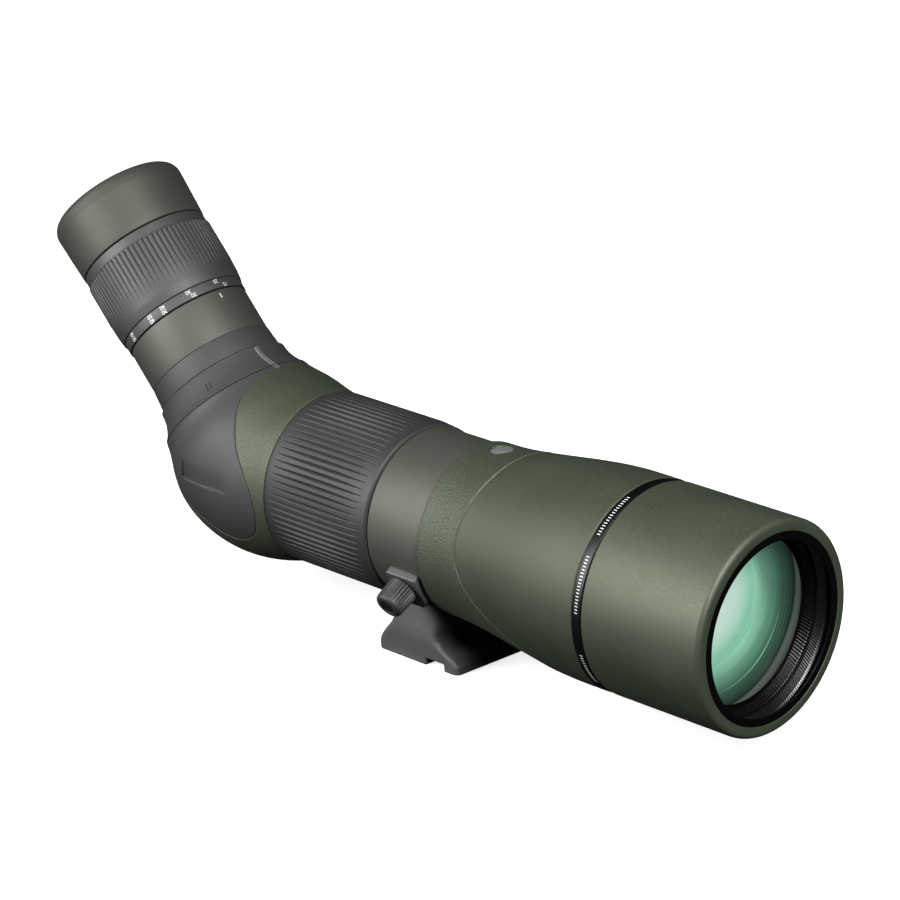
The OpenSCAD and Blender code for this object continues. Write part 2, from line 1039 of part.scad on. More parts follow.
module zoom_scale_ring()
    color(charcoal)
        on_eye_axis()
            turned([
                [cam_r, eye_barrel_end + body_gap],
                [25.7, eye_barrel_end + body_gap],
                [26, eye_barrel_end + body_gap + 0.3],
                [26, scale_end - 0.3],
                [25.7, scale_end],
                [cam_r, scale_end]
            ]);

module zoom_cam_sleeve()
    color(brass)
        on_eye_axis()
            difference() {
                ring(eye_barrel_end + body_gap, zoom_end - 0.4, cam_r, eye_tube_r + run_gap);
                for (station = [front_pin, rear_pin])
                    ring(
                        station - zoom_travel - zoom_pin_r - 0.8,
                        station + zoom_travel + zoom_pin_r + 0.8,
                        cam_r - 0.7,
                        eye_tube_r
                    );
            }

module zoom_grip() {
    band_r = 26.7;
    color(charcoal)
        on_eye_axis() {
            difference() {
                turned([
                    [cam_r, scale_end],
                    [26.3, scale_end],
                    [26.8, scale_end + 0.5],
                    [zoom_r, scale_end + 8],
                    [zoom_r, flute_end - 0.3],
                    [zoom_r - 0.3, flute_end],
                    [cam_r, flute_end]
                ]);
                flutes(zoom_flutes, zoom_r, zoom_flute_depth, flute_end - 2, 15.5);
            }
            turned([
                [cam_r, flute_end],
                [band_r - 0.3, flute_end],
                [band_r, flute_end + 0.3],
                [band_r, zoom_end - 0.3],
                [band_r - 0.3, zoom_end],
                [cam_r, zoom_end]
            ]);
        }
}

// Zoom lens cell with its follower pin.
module zoom_cell(pin_station, half, lens_r)
    color(black)
        on_eye_axis() {
            difference() {
                ring(pin_station - half, pin_station + half, eye_tube_bore - run_gap, lens_r - 1.5);
                ring(pin_station - half + 1.5, pin_station + half + 1, lens_r, lens_r - 3);
            }
            translate([0, 0, pin_station])
                radial_pin(zoom_pin_r, eye_tube_bore - 1, cam_r - 1);
        }

module zoom_front_cell()
    zoom_cell(front_pin, 4, 15);

module zoom_front_lens()
    color(glass)
        on_eye_axis()
            lens(15, front_pin - 2.5, front_pin + 2.5, -45, -60);

module zoom_rear_cell()
    zoom_cell(rear_pin, 3.6, 15.5);

module zoom_rear_lens()
    color(glass)
        on_eye_axis()
            lens(15.5, rear_pin - 2.1, rear_pin + 2, 60, 90, rim = 1.7);

eye_lens_r = 16.5;
eye_lens_start = 103;

module eye_lens_cell()
    color(black)
        on_eye_axis()
            difference() {
                ring(99.5, eye_tube_end, eye_tube_bore, eye_lens_r - 1.2);
                ring(eye_lens_start, eye_tube_end + 1, eye_lens_r, eye_lens_r - 3);
            }

module eye_lens()
    color(glass)
        on_eye_axis()
            lens(eye_lens_r, eye_lens_start, eye_lens_start + 5, 60, 48, rim = 1.4);

cup_start = zoom_end + body_gap;
click_r = 21.6;
cup_sleeve_r = 23.6;
sleeve_end = 116;

module eyecup_click_ring()
    color(steel)
        on_eye_axis()
            ring(101, 105, click_r, eye_tube_r + run_gap);

module eyecup_sleeve()
    color(black)
        on_eye_axis()
            ring(cup_start + 0.3, sleeve_end, cup_sleeve_r, click_r + run_gap);

// Rubber eyecup with a rounded top and a hollow for the eye.
module eyecup() {
    rim = 5;
    lip = 1.6;
    mouth_r = 19.6;
    flare = 0.5;
    color(olive)
        on_eye_axis()
            turned(concat(
                [
                    [cup_sleeve_r, cup_start],
                    [eyecup_r - flare - 0.3, cup_start],
                    [eyecup_r - flare, cup_start + 0.4]
                ],
                arc([eyecup_r - rim, eyecup_end - rim], rim, 0, 68),
                arc([mouth_r + lip, eyecup_end - lip], lip, 90, 180),
                [
                    [mouth_r, sleeve_end],
                    [cup_sleeve_r, sleeve_end]
                ]
            ));
}

collar_ring();
tripod_foot();
foot_screws();
thread_bush();
brake_pad();
lock_knob();
lock_screw();
main_tube();
focus_seals();
objective_barrel();
barrel_armour();
trim_ring();
objective_cell();
objective_seal();
front_lens();
middle_lens();
rear_lens();
lens_spacer();
lens_retaining_ring();
shade_glide_band();
prism_housing();
housing_armour();
prism_cover();
prism_plate();
roof_prism();
prism_strap();
strap_screws();
bayonet_socket();
eyepiece_base_ring();
eyepiece_barrel();
eyepiece_tube();
field_lens();
field_stop();
eye_lens_cell();
eye_lens();
focus_ring();
focus_cam_sleeve();
focus_cell();
focus_lens();
sunshade();
shade_liner();
lock_ring();
lock_index_bar();
zoom_grip();
zoom_scale_ring();
zoom_cam_sleeve();
zoom_front_cell();
zoom_front_lens();
zoom_rear_cell();
zoom_rear_lens();
eyecup_click_ring();
eyecup_sleeve();
eyecup();
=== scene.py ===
"""Looks for the angled spotting scope: outside pieces, finishes and a small studio.

Lengths are in millimetres until a mesh is made, and the frame is in metres. Stations on
the main axis are counted forwards from the bend of the optical axis, and stations on the
eyepiece axis are counted up from the same point.
"""

import json
import math
from functools import partial

import bmesh
import bpy
import numpy as np
from mathutils import Matrix, Vector


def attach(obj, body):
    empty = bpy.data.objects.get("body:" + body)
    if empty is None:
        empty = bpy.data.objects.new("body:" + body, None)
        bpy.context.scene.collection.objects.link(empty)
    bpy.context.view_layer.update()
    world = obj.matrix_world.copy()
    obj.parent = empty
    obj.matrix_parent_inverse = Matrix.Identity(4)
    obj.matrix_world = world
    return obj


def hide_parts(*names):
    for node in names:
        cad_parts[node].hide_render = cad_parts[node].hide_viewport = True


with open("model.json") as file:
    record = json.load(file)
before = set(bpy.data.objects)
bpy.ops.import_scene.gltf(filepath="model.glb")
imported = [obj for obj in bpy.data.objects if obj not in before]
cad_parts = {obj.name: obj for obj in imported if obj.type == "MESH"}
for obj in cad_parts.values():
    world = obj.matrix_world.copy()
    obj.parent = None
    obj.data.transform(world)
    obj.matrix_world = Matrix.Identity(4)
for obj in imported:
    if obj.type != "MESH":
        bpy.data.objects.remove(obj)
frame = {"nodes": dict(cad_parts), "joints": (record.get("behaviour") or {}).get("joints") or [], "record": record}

bl_info = {
    "name": "Spotting Scope Looks",
    "version": (1, 0, 0),
    "blender": (4, 5, 0),
    "location": "View3D > Sidebar > Scope",
    "description": "Builds the outside pieces, finishes and studio of an angled spotting scope",
    "category": "Object",
}

MM = 0.001
FULL_TURN = 2 * math.pi


# --- axes of the scope, read from its joints ---


def joint(name):
    """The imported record's joint of this name."""
    return next(j for j in frame["joints"] if j["name"] == name)


def unit(vectors):
    """The vectors with a length of one."""
    vectors = np.asarray(vectors, float)
    return vectors / np.linalg.norm(vectors, axis=-1, keepdims=True)


def axes(origin, along, up):
    """A 4x4 placement in millimetres: local Z runs along the axis and local Y is up."""
    z = unit(along)
    y = unit(np.array(up, float) - z * np.dot(up, z))
    made = np.eye(4)
    made[:3, :3] = np.column_stack([np.cross(y, z), y, z])
    made[:3, 3] = origin
    return made


BEND = np.array(joint("focus_turn")["pos_m"]) / MM
EYE_DIR = np.array(joint("zoom_turn")["axis"])
MAIN = axes(BEND, joint("focus_turn")["axis"], (0, 0, 1))
EYE = axes(BEND, EYE_DIR, (0, -EYE_DIR[2], EYE_DIR[1]))
KNOB = axes(
    np.array(joint("lock_knob_turn")["pos_m"]) / MM,
    joint("lock_knob_turn")["axis"],
    (0, -1, 0),
)


def place(points, where):
    """Points from a local placement to the frame, still in millimetres."""
    return np.asarray(points, float) @ where[:3, :3].T + where[:3, 3]


# --- meshes ---

FILLET_STEPS = 6
ON_LEVEL = 1e-6
MERGE_DISTANCE = 1e-7


def shade_smooth(mesh, sharp):
    """Smooth shading that breaks at edges over an angle in degrees."""
    mesh.polygons.foreach_set("use_smooth", [True] * len(mesh.polygons))
    mesh.set_sharp_from_angle(angle=math.radians(sharp))


def make_object(name, points, faces, material, sharp=35):
    """A shaded mesh object at the origin from points in millimetres."""
    mesh = bpy.data.meshes.new(name)
    mesh.from_pydata((np.asarray(points) * MM).tolist(), [], faces)
    shade_smooth(mesh, sharp)
    mesh.materials.append(material)
    made = bpy.data.objects.new(name, mesh)
    bpy.context.scene.collection.objects.link(made)
    return made


def reworked(made, change):
    """The object after one bmesh change to its mesh."""
    work = bmesh.new()
    work.from_mesh(made.data)
    change(work)
    work.to_mesh(made.data)
    work.free()
    return made


def facing_out(made):
    """The object, with the faces of its closed pieces turned outward."""
    return reworked(made, lambda work: bmesh.ops.recalc_face_normals(work, faces=work.faces))


def settle(piece, body, slot, *nodes):
    """Hangs a finished piece on its body, in place of these CAD nodes."""
    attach(piece, body)
    if nodes:
        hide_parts(*nodes)
    return piece


def fillet(outline):
    """A closed outline of (radius, station) corners, rounded where a third number says how much."""
    made = []
    for i, (r, s, *rounding) in enumerate(outline):
        corner = np.array([r, s], float)
        if not rounding:
            made.append(corner)
            continue
        back = np.array(outline[i - 1][:2]) - corner
        ahead = np.array(outline[(i + 1) % len(outline)][:2]) - corner
        lengths = np.linalg.norm(back), np.linalg.norm(ahead)
        back, ahead = back / lengths[0], ahead / lengths[1]
        half = math.acos(max(-1, min(1, back @ ahead))) / 2
        cut = min(rounding[0] / math.tan(half), *lengths)
        centre = corner + unit(back + ahead) * cut / math.cos(half)
        first, last = corner + back * cut - centre, corner + ahead * cut - centre
        turn = math.pi - 2 * half
        for k in range(FILLET_STEPS + 1):
            t = k / FILLET_STEPS
            mix = math.sin((1 - t) * turn) * first + math.sin(t * turn) * last
            made.append(centre + mix / math.sin(turn))
    return np.array(made)


def revolve(outline, segments):
    """Points and faces of a closed outline of (radius, station) turned round local Z."""
    outline = np.asarray(outline, float)
    r, s = outline.T
    if np.sum(r * np.roll(s, -1) - np.roll(r, -1) * s) < 0:
        outline = outline[::-1]
    angle = np.arange(segments) * FULL_TURN / segments
    points = np.stack(
        [
            outline[:, :1] * np.cos(angle),
            outline[:, :1] * np.sin(angle),
            np.repeat(outline[:, 1:], segments, 1),
        ],
        -1,
    ).reshape(-1, 3)
    faces = []
    for i in range(len(outline)):
        a, b = i * segments, (i + 1) % len(outline) * segments
        for j in range(segments):
            k = (j + 1) % segments
            faces.append((a + j, a + k, b + k, b + j))
    return points, faces


def turned(name, outline, where, material, segments=256):
    """A turned piece, closed where its outline touches the axis."""
    points, faces = revolve(fillet(outline), segments)
    made = make_object(name, place(points, where), faces, material)
    if min(corner[0] for corner in outline) > 0:
        return made
    return reworked(made, lambda work: bmesh.ops.remove_doubles(
        work, verts=work.verts, dist=MERGE_DISTANCE))


def split(skin, field, level):
    """A skin of (points, fields, faces), cut so that an edge runs on one level of a field."""
    points, fields = list(skin[0]), list(skin[1])
    new, cut = [], {}
    for face in skin[2]:
        values = [fields[v][field] - level for v in face]
        if min(values) >= -ON_LEVEL or max(values) <= ON_LEVEL:
            new.append(face)
            continue
        low, high = [], []
        for i, a in enumerate(face):
            b, va, vb = face[(i + 1) % len(face)], values[i], values[(i + 1) % len(face)]
            if va <= ON_LEVEL:
                low.append(a)
            if va >= -ON_LEVEL:
                high.append(a)
            if min(va, vb) < -ON_LEVEL and max(va, vb) > ON_LEVEL:
                key = (min(a, b), max(a, b))
                if key not in cut:
                    share = va / (va - vb)
                    cut[key] = len(points)
                    points.append(points[a] + (points[b] - points[a]) * share)
                    mixed = fields[a] + (fields[b] - fields[a]) * share
                    mixed[field] = level
                    fields.append(mixed)
                low.append(cut[key])
                high.append(cut[key])
        new += [f for f in (low, high) if len(f) > 2]
    return points, fields, new


def keep(skin, field, level, above):
    """Only the faces of a skin on one side of a level that has been cut."""
    points, fields, faces = skin
    sign = 1 if above else -1
    lowest = -10 * ON_LEVEL
    chosen = [f for f in faces if min(sign * (fields[v][field] - level) for v in f) > lowest]
    used = sorted({v for f in chosen for v in f})
    index = {v: i for i, v in enumerate(used)}
    return (
        np.array([points[v] for v in used]),
        np.array([fields[v] for v in used]),
        [[index[v] for v in f] for f in chosen],
    )


def skin_wall(name, points, normals, faces, thickness, material, sharp):
    """A closed wall under a skin round the main axis."""
    count = len(points)
    edges = dict.fromkeys((a, b) for f in faces for a, b in zip(f, f[1:] + f[:1]))
    walls = [[b, a, a + count, b + count] for a, b in edges if (b, a) not in edges]
    inner = [[v + count for v in reversed(f)] for f in faces]
    both = np.vstack([points, points - normals * thickness])
    return make_object(name, place(both, MAIN), faces + inner + walls, material, sharp)


def eased_edge(distance, rounding):
    """How far a rounded edge lies below the surface at a distance from the edge."""
    reach = np.clip(rounding - distance, 0, rounding)
    return rounding - np.sqrt(np.maximum(rounding**2 - reach**2, 0))


def step(x):
    """Smooth step from 0 to 1."""
    x = np.clip(x, 0, 1)
    return x * x * (3 - 2 * x)


def grid_faces(rows, columns):
    """Faces of a grid that is closed along its columns."""
    return [
        [i * columns + j, i * columns + (j + 1) % columns,
         (i + 1) * columns + (j + 1) % columns, (i + 1) * columns + j]
        for i in range(rows - 1)
        for j in range(columns)
    ]


def surface_net(field, low, high, size):
    """Points and faces of the zero surface of a distance field, in millimetres."""
    counts = [int(math.ceil((b - a) / size)) + 1 for a, b in zip(low, high)]
    lines = [a + size * np.arange(n) for a, n in zip(low, counts)]
    grid = np.stack(np.meshgrid(*lines, indexing="ij"), -1)
    value = field(grid.reshape(-1, 3)).reshape(counts)
    inside = value < 0
    total = np.zeros([n - 1 for n in counts] + [3])
    hits = np.zeros([n - 1 for n in counts])
    sides = [slice(0, -1), slice(1, None)]
    crossings = []
    for axis in range(3):
        a = [slice(None)] * 3
        b = [slice(None)] * 3
        a[axis], b[axis] = sides
        change = inside[tuple(a)] != inside[tuple(b)]
        va, vb = value[tuple(a)], value[tuple(b)]
        share = np.where(change, va / np.where(change, va - vb, 1), 0)
        spot = grid[tuple(a)].copy()
        spot[..., axis] += share * size
        u, v = (d for d in range(3) if d != axis)
        for first in sides:
            for second in sides:
                cut = [slice(None)] * 3
                cut[u], cut[v] = first, second
                mask = change[tuple(cut)]
                total += spot[tuple(cut)] * mask[..., None]
                hits += mask
        crossings.append((axis, u, v, change, inside[tuple(a)]))
    filled = hits > 0
    index = np.cumsum(filled.reshape(-1)).reshape(filled.shape) - 1
    points = total[filled] / hits[filled][:, None]
    quads = []
    for axis, u, v, change, low_inside in crossings:
        where = np.argwhere(change)
        where = where[(where[:, u] > 0) & (where[:, v] > 0)]
        where = where[(where[:, u] < counts[u] - 1) & (where[:, v] < counts[v] - 1)]
        corners = []
        for du, dv in ((-1, -1), (0, -1), (0, 0), (-1, 0)):
            spot = where.copy()
            spot[:, u] += du
            spot[:, v] += dv
            corners.append(index[tuple(spot.T)])
        quad = np.stack(corners, -1)
        flip = low_inside[tuple(where.T)] == (axis == 1)
        quad[flip] = quad[flip][:, ::-1]
        quads.append(quad)
    return drawn_onto(field, points), np.vstack(quads).tolist()


def drawn_onto(field, points, rounds=4, probe=0.02, least=0.05):
    """Points moved along the field's slope until they lie on its zero surface."""
    for _ in range(rounds):
        slope = np.stack([(field(points + d) - field(points - d)) / (2 * probe)
                          for d in np.eye(3) * probe], -1)
        length = np.maximum((slope**2).sum(-1), least)
        points = points - slope * (field(points) / length)[:, None]
    return points


def smooth_min(a, b, blend):
    """Union of two distance fields with a blended crease."""
    h = np.clip(0.5 + 0.5 * (b - a) / blend, 0, 1)
    return b + (a - b) * h - blend * h * (1 - h)


def smooth_max(a, b, blend):
    """Intersection of two distance fields with a rounded edge."""
    return -smooth_min(-a, -b, blend)


def box_field(offsets, half):
    """Distance to a box, from offsets to its middle and its half sizes."""
    q = np.abs(offsets) - half
    return np.linalg.norm(np.maximum(q, 0), axis=1) + np.minimum(q.max(1), 0)


# --- raised bars, strokes and numbers that follow a turned surface ---

MARK_RISE = 0.03


def wrapped(points, radius, angle):
    """Flat (along, station, out) points bent round the eyepiece from an angle in degrees."""
    turn = math.radians(angle) + points[:, 0] / radius
    r = radius + points[:, 2]
    return np.stack([r * np.sin(turn), r * np.cos(turn), points[:, 1]], -1)


def ribbon(name, line, profile, radius_at, angle, material, swell=1.0):
    """A profile of (across, out) swept along flat (along, station) points round the eyepiece."""
    line = np.array(line, float)
    along = unit(np.gradient(line, axis=0))
    side = np.stack([-along[:, 1], along[:, 0]], -1)
    size = np.ones(len(line)) * swell
    rows = []
    for across, out in profile:
        flat = line + side * (across * size)[:, None]
        rise = out * size if out > 0 else out + 0 * size
        rows.append(wrapped(np.column_stack([flat, rise]), radius_at(flat[:, 1]), angle))
    points = np.stack(rows, 1).reshape(-1, 3)
    n, count = len(profile), len(line)
    faces = grid_faces(count, n) + [list(range(n))[::-1], [n * (count - 1) + j for j in range(n)]]
    return facing_out(make_object(name, place(points, EYE), faces, material, 30))


def stroke(name, line, width, radius_at, angle, material):
    """A thin flat mark on the eyepiece."""
    half, root = width / 2, -0.3
    flat = ((-half, root), (-half, MARK_RISE), (half, MARK_RISE), (half, root))
    return ribbon(name, line, flat, radius_at, angle, material)


def ticks(name, angles, radius, low, high, width, where, material):
    """A row of plain strokes along the axis of a ring, as one mesh."""
    root = 0.2
    points, faces = [], []
    for angle in angles:
        n = len(points)
        for r in (radius - root, radius + MARK_RISE):
            for aside, station in ((-1, low), (1, low), (1, high), (-1, high)):
                turn = math.radians(angle) + aside * width / 2 / radius
                points.append((r * math.sin(turn), r * math.cos(turn), station))
        faces += [[n + i for i in f] for f in (
            (0, 1, 2, 3), (4, 7, 6, 5), (0, 4, 5, 1), (1, 5, 6, 2), (2, 6, 7, 3), (3, 7, 4, 0))]
    return facing_out(make_object(name, place(np.array(points), where), faces, material, 30))


def number(name, text, size, radius, station, angle):
    """A plain number wrapped round the scale ring, read from the eye end."""
    curve = bpy.data.curves.new(name, "FONT")
    curve.body, curve.size = text, size
    curve.extrude, curve.offset, curve.resolution_u = 0.04, 0.015, 4
    curve.align_x, curve.align_y = "CENTER", "CENTER"
    holder = bpy.data.objects.new(name, curve)
    bpy.context.scene.collection.objects.link(holder)
    ready = holder.evaluated_get(bpy.context.evaluated_depsgraph_get())
    flat = bpy.data.meshes.new_from_object(ready)
    x, y, out = np.array([v.co for v in flat.vertices], float).T
    faces = [list(p.vertices) for p in flat.polygons]
    bpy.data.objects.remove(holder)
    bpy.data.meshes.remove(flat)
    bent = wrapped(np.column_stack([x, station - y, out]), radius, angle)
    return make_object(name, place(bent, EYE), faces, finish("white_mark"))


# --- node trees ---


def feed(tree, node, values):
    """Sets a node's inputs, or links the values that are sockets."""
    for label, value in values.items():
        if isinstance(value, bpy.types.NodeSocket):
            tree.links.new(value, node.inputs[label])
        else:
            node.inputs[label].default_value = value


def add_node(tree, kind, *first, **named):
    """A node with its settings, its first inputs in order and others by name."""
    node = tree.nodes.new(kind)
    for label in [label for label in named if label in node.bl_rna.properties]:
        setattr(node, label, named.pop(label))
    feed(tree, node, {**dict(enumerate(first)), **named})
    return node


def math_node(tree, operation, *values):
    """The result of a math node."""
    return add_node(tree, "ShaderNodeMath", *values, operation=operation).outputs[0]


# --- flutes: a node tree that presses pointed grooves into a dense turned ring ---

FLUTE_LENGTHS = ("Depth", "Middle", "Half Length", "Level From", "Soften", "Wall Limit")
FLUTE_NUMBERS = ("Count", "Slope", "Side", "Twist")
# Half a flute, so that one lies on the axis, and enough whole ones to keep the count positive.
FLUTE_START = 100.5


def flute_tree():
    """The shared tree. Lengths are in metres, Side is 1 for an outer wall and -1 for an inner one,
    and Twist is in radians per metre."""
    tree = bpy.data.node_groups.get("Flutes")
    if tree:
        return tree
    tree = bpy.data.node_groups.new("Flutes", "GeometryNodeTree")
    tree.is_modifier = True
    sockets = [("Ring", "Geometry"), ("Finish", "Material")]
    sockets += [(label, "Float") for label in FLUTE_LENGTHS + FLUTE_NUMBERS]
    for label, kind in sockets:
        tree.interface.new_socket(label, in_out="INPUT", socket_type="NodeSocket" + kind)
    tree.interface.new_socket("Ring", in_out="OUTPUT", socket_type="NodeSocketGeometry")
    given = tree.nodes.new("NodeGroupInput").outputs
    do = partial(math_node, tree)
    position = tree.nodes.new("GeometryNodeInputPosition").outputs[0]
    x, y, z = add_node(tree, "ShaderNodeSeparateXYZ", position).outputs
    radius = do("SQRT", do("ADD", do("MULTIPLY", x, x), do("MULTIPLY", y, y)))
    angle = do("ADD", do("ARCTAN2", y, x), do("MULTIPLY", z, given["Twist"]))
    turns = do("DIVIDE", angle, FULL_TURN)
    share = do("FRACT", do("ADD", do("MULTIPLY", turns, given["Count"]), FLUTE_START))
    pitch = do("DIVIDE", do("MULTIPLY", radius, FULL_TURN), given["Count"])
    away = do("MULTIPLY", do("ABSOLUTE", do("SUBTRACT", share, 0.5)), pitch)
    station = do("MINIMUM", z, given["Level From"])
    run = do("DIVIDE", do("SUBTRACT", station, given["Middle"]), given["Half Length"])
    depth = do("MULTIPLY", given["Depth"], do("SUBTRACT", 1, do("MULTIPLY", run, run)))
    groove = do("SUBTRACT", depth, do("MULTIPLY", away, given["Slope"]))
    cut = do("SMOOTH_MAX", groove, 0, given["Soften"])
    beyond = do("MULTIPLY", do("SUBTRACT", radius, given["Wall Limit"]), given["Side"])
    chosen = do("MULTIPLY", do("GREATER_THAN", beyond, 0), given["Side"])
    pull = do("DIVIDE", do("MULTIPLY", do("MULTIPLY", cut, chosen), -1), radius)
    offset = add_node(
        tree, "ShaderNodeCombineXYZ", do("MULTIPLY", x, pull), do("MULTIPLY", y, pull)).outputs[0]
    pressed = add_node(tree, "GeometryNodeSetPosition", Geometry=given["Ring"], Offset=offset)
    real = add_node(tree, "GeometryNodeRealizeInstances", pressed.outputs[0])
    coated = add_node(
        tree, "GeometryNodeSetMaterial", Geometry=real.outputs[0], Material=given["Finish"])
    add_node(tree, "NodeGroupOutput", coated.outputs[0])
    return tree


def fluted(name, outline, where, material, count, per_flute, rows, **sizes):
    """A turned ring with flutes pressed in by the shared tree, as a plain mesh in place.

    The sizes are the tree's inputs in millimetres. Rows are (from, to, how many) on the wall."""
    sizes = {"level_from": 1000, "side": 1, "twist": 0, "count": count, **sizes}
    ring = dense(fillet(outline), *rows, sizes["wall_limit"], sizes["side"])
    made = make_object(name, *revolve(ring, count * per_flute), material)
    tree = flute_tree()
    values = {"Finish": material}
    for key, size in sizes.items():
        label = key.replace("_", " ").title()
        values[label] = float(size * MM if label in FLUTE_LENGTHS else size)
    modifier = made.modifiers.new("Flutes", "NODES")
    modifier.node_group = tree
    for item in tree.interface.items_tree:
        if item.in_out == "INPUT" and item.name in values:
            modifier[item.identifier] = values[item.name]
    ready = made.evaluated_get(bpy.context.evaluated_depsgraph_get())
    mesh = bpy.data.meshes.new_from_object(ready)
    made.modifiers.remove(modifier)
    made.data = mesh
    placement = Matrix(where.tolist())
    placement.translation = Vector(where[:3, 3] * MM)
    mesh.transform(placement)
    shade_smooth(mesh, 50)
    return made


def dense(outline, start, end, count, limit, side):
    """The outline with its wall between two stations, outside or inside a radius, cut into rows."""
    shortest, steepest = 2, 2
    made = []
    for i, (r, s) in enumerate(outline):
        made.append((r, s))
        r2, s2 = outline[(i + 1) % len(outline)]
        low, high = min(s, s2), max(s, s2)
        on_wall = min((r - limit) * side, (r2 - limit) * side) > 0
        in_range = low >= start - ON_LEVEL and high <= end + ON_LEVEL
        if on_wall and in_range and abs(r - r2) < steepest and high - low > shortest:
            rows = max(2, int(count * (high - low) / (end - start)))
            made += [(r + (r2 - r) * k / rows, s + (s2 - s) * k / rows) for k in range(1, rows)]
    return np.array(made)


# --- finishes ---

DRIFT_SCALE = 45.0
SPECK_SCALE, SPECK_REACH, SPECK_RARITY = 420.0, 0.09, 0.86
RUBBER_DRIFT_SCALE, PEBBLE_MEAN = 40.0, 0.72
GREEN_SHEEN, OLIVE_SHEEN, GREY_SHEEN = (0.93, 1, 0.77, 1), (1, 1, 0.87, 1), (1, 1, 1, 1)
METAL = {"Metallic": 1.0}


def shader_group(name, inputs, outputs):
    """An empty shader group with named colours and values: (tree, what it is given)."""
    tree = bpy.data.node_groups.new(name, "ShaderNodeTree")
    for side, labels in (("INPUT", inputs), ("OUTPUT", outputs)):
        for label in labels:
            kind = "NodeSocketColor" if "Color" in label else "NodeSocketFloat"
            tree.interface.new_socket(label, in_out=side, socket_type=kind)
    return tree, tree.nodes.new("NodeGroupInput").outputs


def texture(tree, kind, scale, **settings):
    """A texture node on Object coordinates."""
    spot = tree.nodes.new("ShaderNodeTexCoord").outputs["Object"]
    return add_node(tree, kind, Vector=spot, Scale=scale, **settings)


def tinted(tree, color, factor):
    """A colour multiplied by a grey factor."""
    return add_node(
        tree, "ShaderNodeVectorMath", color, operation="SCALE", Scale=factor).outputs[0]


def grain_group():
    """Fine grain, slow tone drift and tiny bright specks for paint and metal."""
    name = "Surface Grain"
    if name in bpy.data.node_groups:
        return bpy.data.node_groups[name]
    tree, given = shader_group(
        name, ("Color", "Tone", "Size", "Rough", "Specks"), ("Color", "Roughness", "Height"))
    do = partial(math_node, tree)
    noise = partial(texture, tree, "ShaderNodeTexNoise", Detail=3.0)
    fine = noise(given["Size"], Roughness=0.6).outputs["Fac"]
    slow = noise(DRIFT_SCALE).outputs["Fac"]
    cells = texture(tree, "ShaderNodeTexVoronoi", SPECK_SCALE, Randomness=1.0)
    draw = add_node(tree, "ShaderNodeSeparateColor", cells.outputs["Color"]).outputs[0]
    near = do("LESS_THAN", cells.outputs["Distance"], SPECK_REACH)
    few = do("GREATER_THAN", draw, SPECK_RARITY)
    speck = do("MULTIPLY", do("MULTIPLY", near, few), given["Specks"])
    drift = do("ADD", do("SUBTRACT", fine, 0.5), do("MULTIPLY", do("SUBTRACT", slow, 0.5), 0.5))
    tone = do("ADD", do("MULTIPLY", drift, given["Tone"]), 1.0)
    add_node(
        tree, "NodeGroupOutput",
        Color=tinted(tree, given["Color"], do("ADD", tone, speck)),
        Roughness=do("ADD", given["Rough"], do("MULTIPLY", drift, 0.25)),
        Height=do("ADD", fine, do("MULTIPLY", speck, 0.5)),
    )
    return tree


def pebble_hollow_shade_group():
    """Pebbled rubber: small rounded bumps, with painted shade darkening the hollows between them and the tops
    painted lighter.
    """
    name = "Pebbled Rubber"
    if name in bpy.data.node_groups:
        return bpy.data.node_groups[name]
    tree, given = shader_group(
        name, ("Color", "Tone", "Size", "Rough"), ("Color", "Roughness", "Height"))
    do = partial(math_node, tree)
    noise = partial(texture, tree, "ShaderNodeTexNoise")
    lumps = texture(tree, "ShaderNodeTexVoronoi", given["Size"], feature="SMOOTH_F1",
                    Smoothness=0.7, Randomness=1.0)
    fine = noise(do("MULTIPLY", given["Size"], 0.9), Detail=2.5).outputs["Fac"]
    slow = noise(RUBBER_DRIFT_SCALE, Detail=2.0).outputs["Fac"]
    top = do("SUBTRACT", 1.0, lumps.outputs["Distance"])
    height = do("ADD", do("MULTIPLY", top, 0.7), do("MULTIPLY", fine, 0.6))
    # The colour follows the bump height: painted shade in the hollows and lighter tops, with a slow random drift.
    drift = do("ADD", do("SUBTRACT", height, PEBBLE_MEAN),
               do("MULTIPLY", do("SUBTRACT", slow, 0.5), 0.3))
    tone = do("ADD", do("MULTIPLY", drift, given["Tone"]), 1.0)
    add_node(
        tree, "NodeGroupOutput",
        Color=tinted(tree, given["Color"], tone),
        Roughness=do("SUBTRACT", given["Rough"], do("MULTIPLY", drift, 0.2)),
        Height=height,
    )
    return tree


def new_material(name):
    """A new material, its tree and its shader."""
    made = bpy.data.materials.new(name)
    made.use_nodes = True
    return made, made.node_tree, made.node_tree.nodes["Principled BSDF"]


def finish_material(name, group, color, rough, size, tone, bump, specks=0.0, **constants):
    """A finish with a shared detail group. Constants go straight onto the shader."""
    known = bpy.data.materials.get(name)
    if known:
        return known
    made, tree, shader = new_material(name)
    detail = add_node(tree, "ShaderNodeGroup", node_tree=group)
    values = {"Color": (*color[:3], 1), "Tone": tone, "Size": size, "Rough": rough, "Specks": specks}
    feed(tree, detail, {k: value for k, value in values.items() if k in detail.inputs})
    relief = add_node(
        tree, "ShaderNodeBump", Strength=1.0, Distance=bump, Height=detail.outputs["Height"])
    feed(tree, shader, {
        "Base Color": detail.outputs["Color"], "Roughness": detail.outputs["Roughness"],
        "Normal": relief.outputs[0], **constants})
    return made


def satin(level, tint=GREY_SHEEN):
    """Shader constants of a satin surface."""
    return {"Specular IOR Level": level, "Specular Tint": tint}


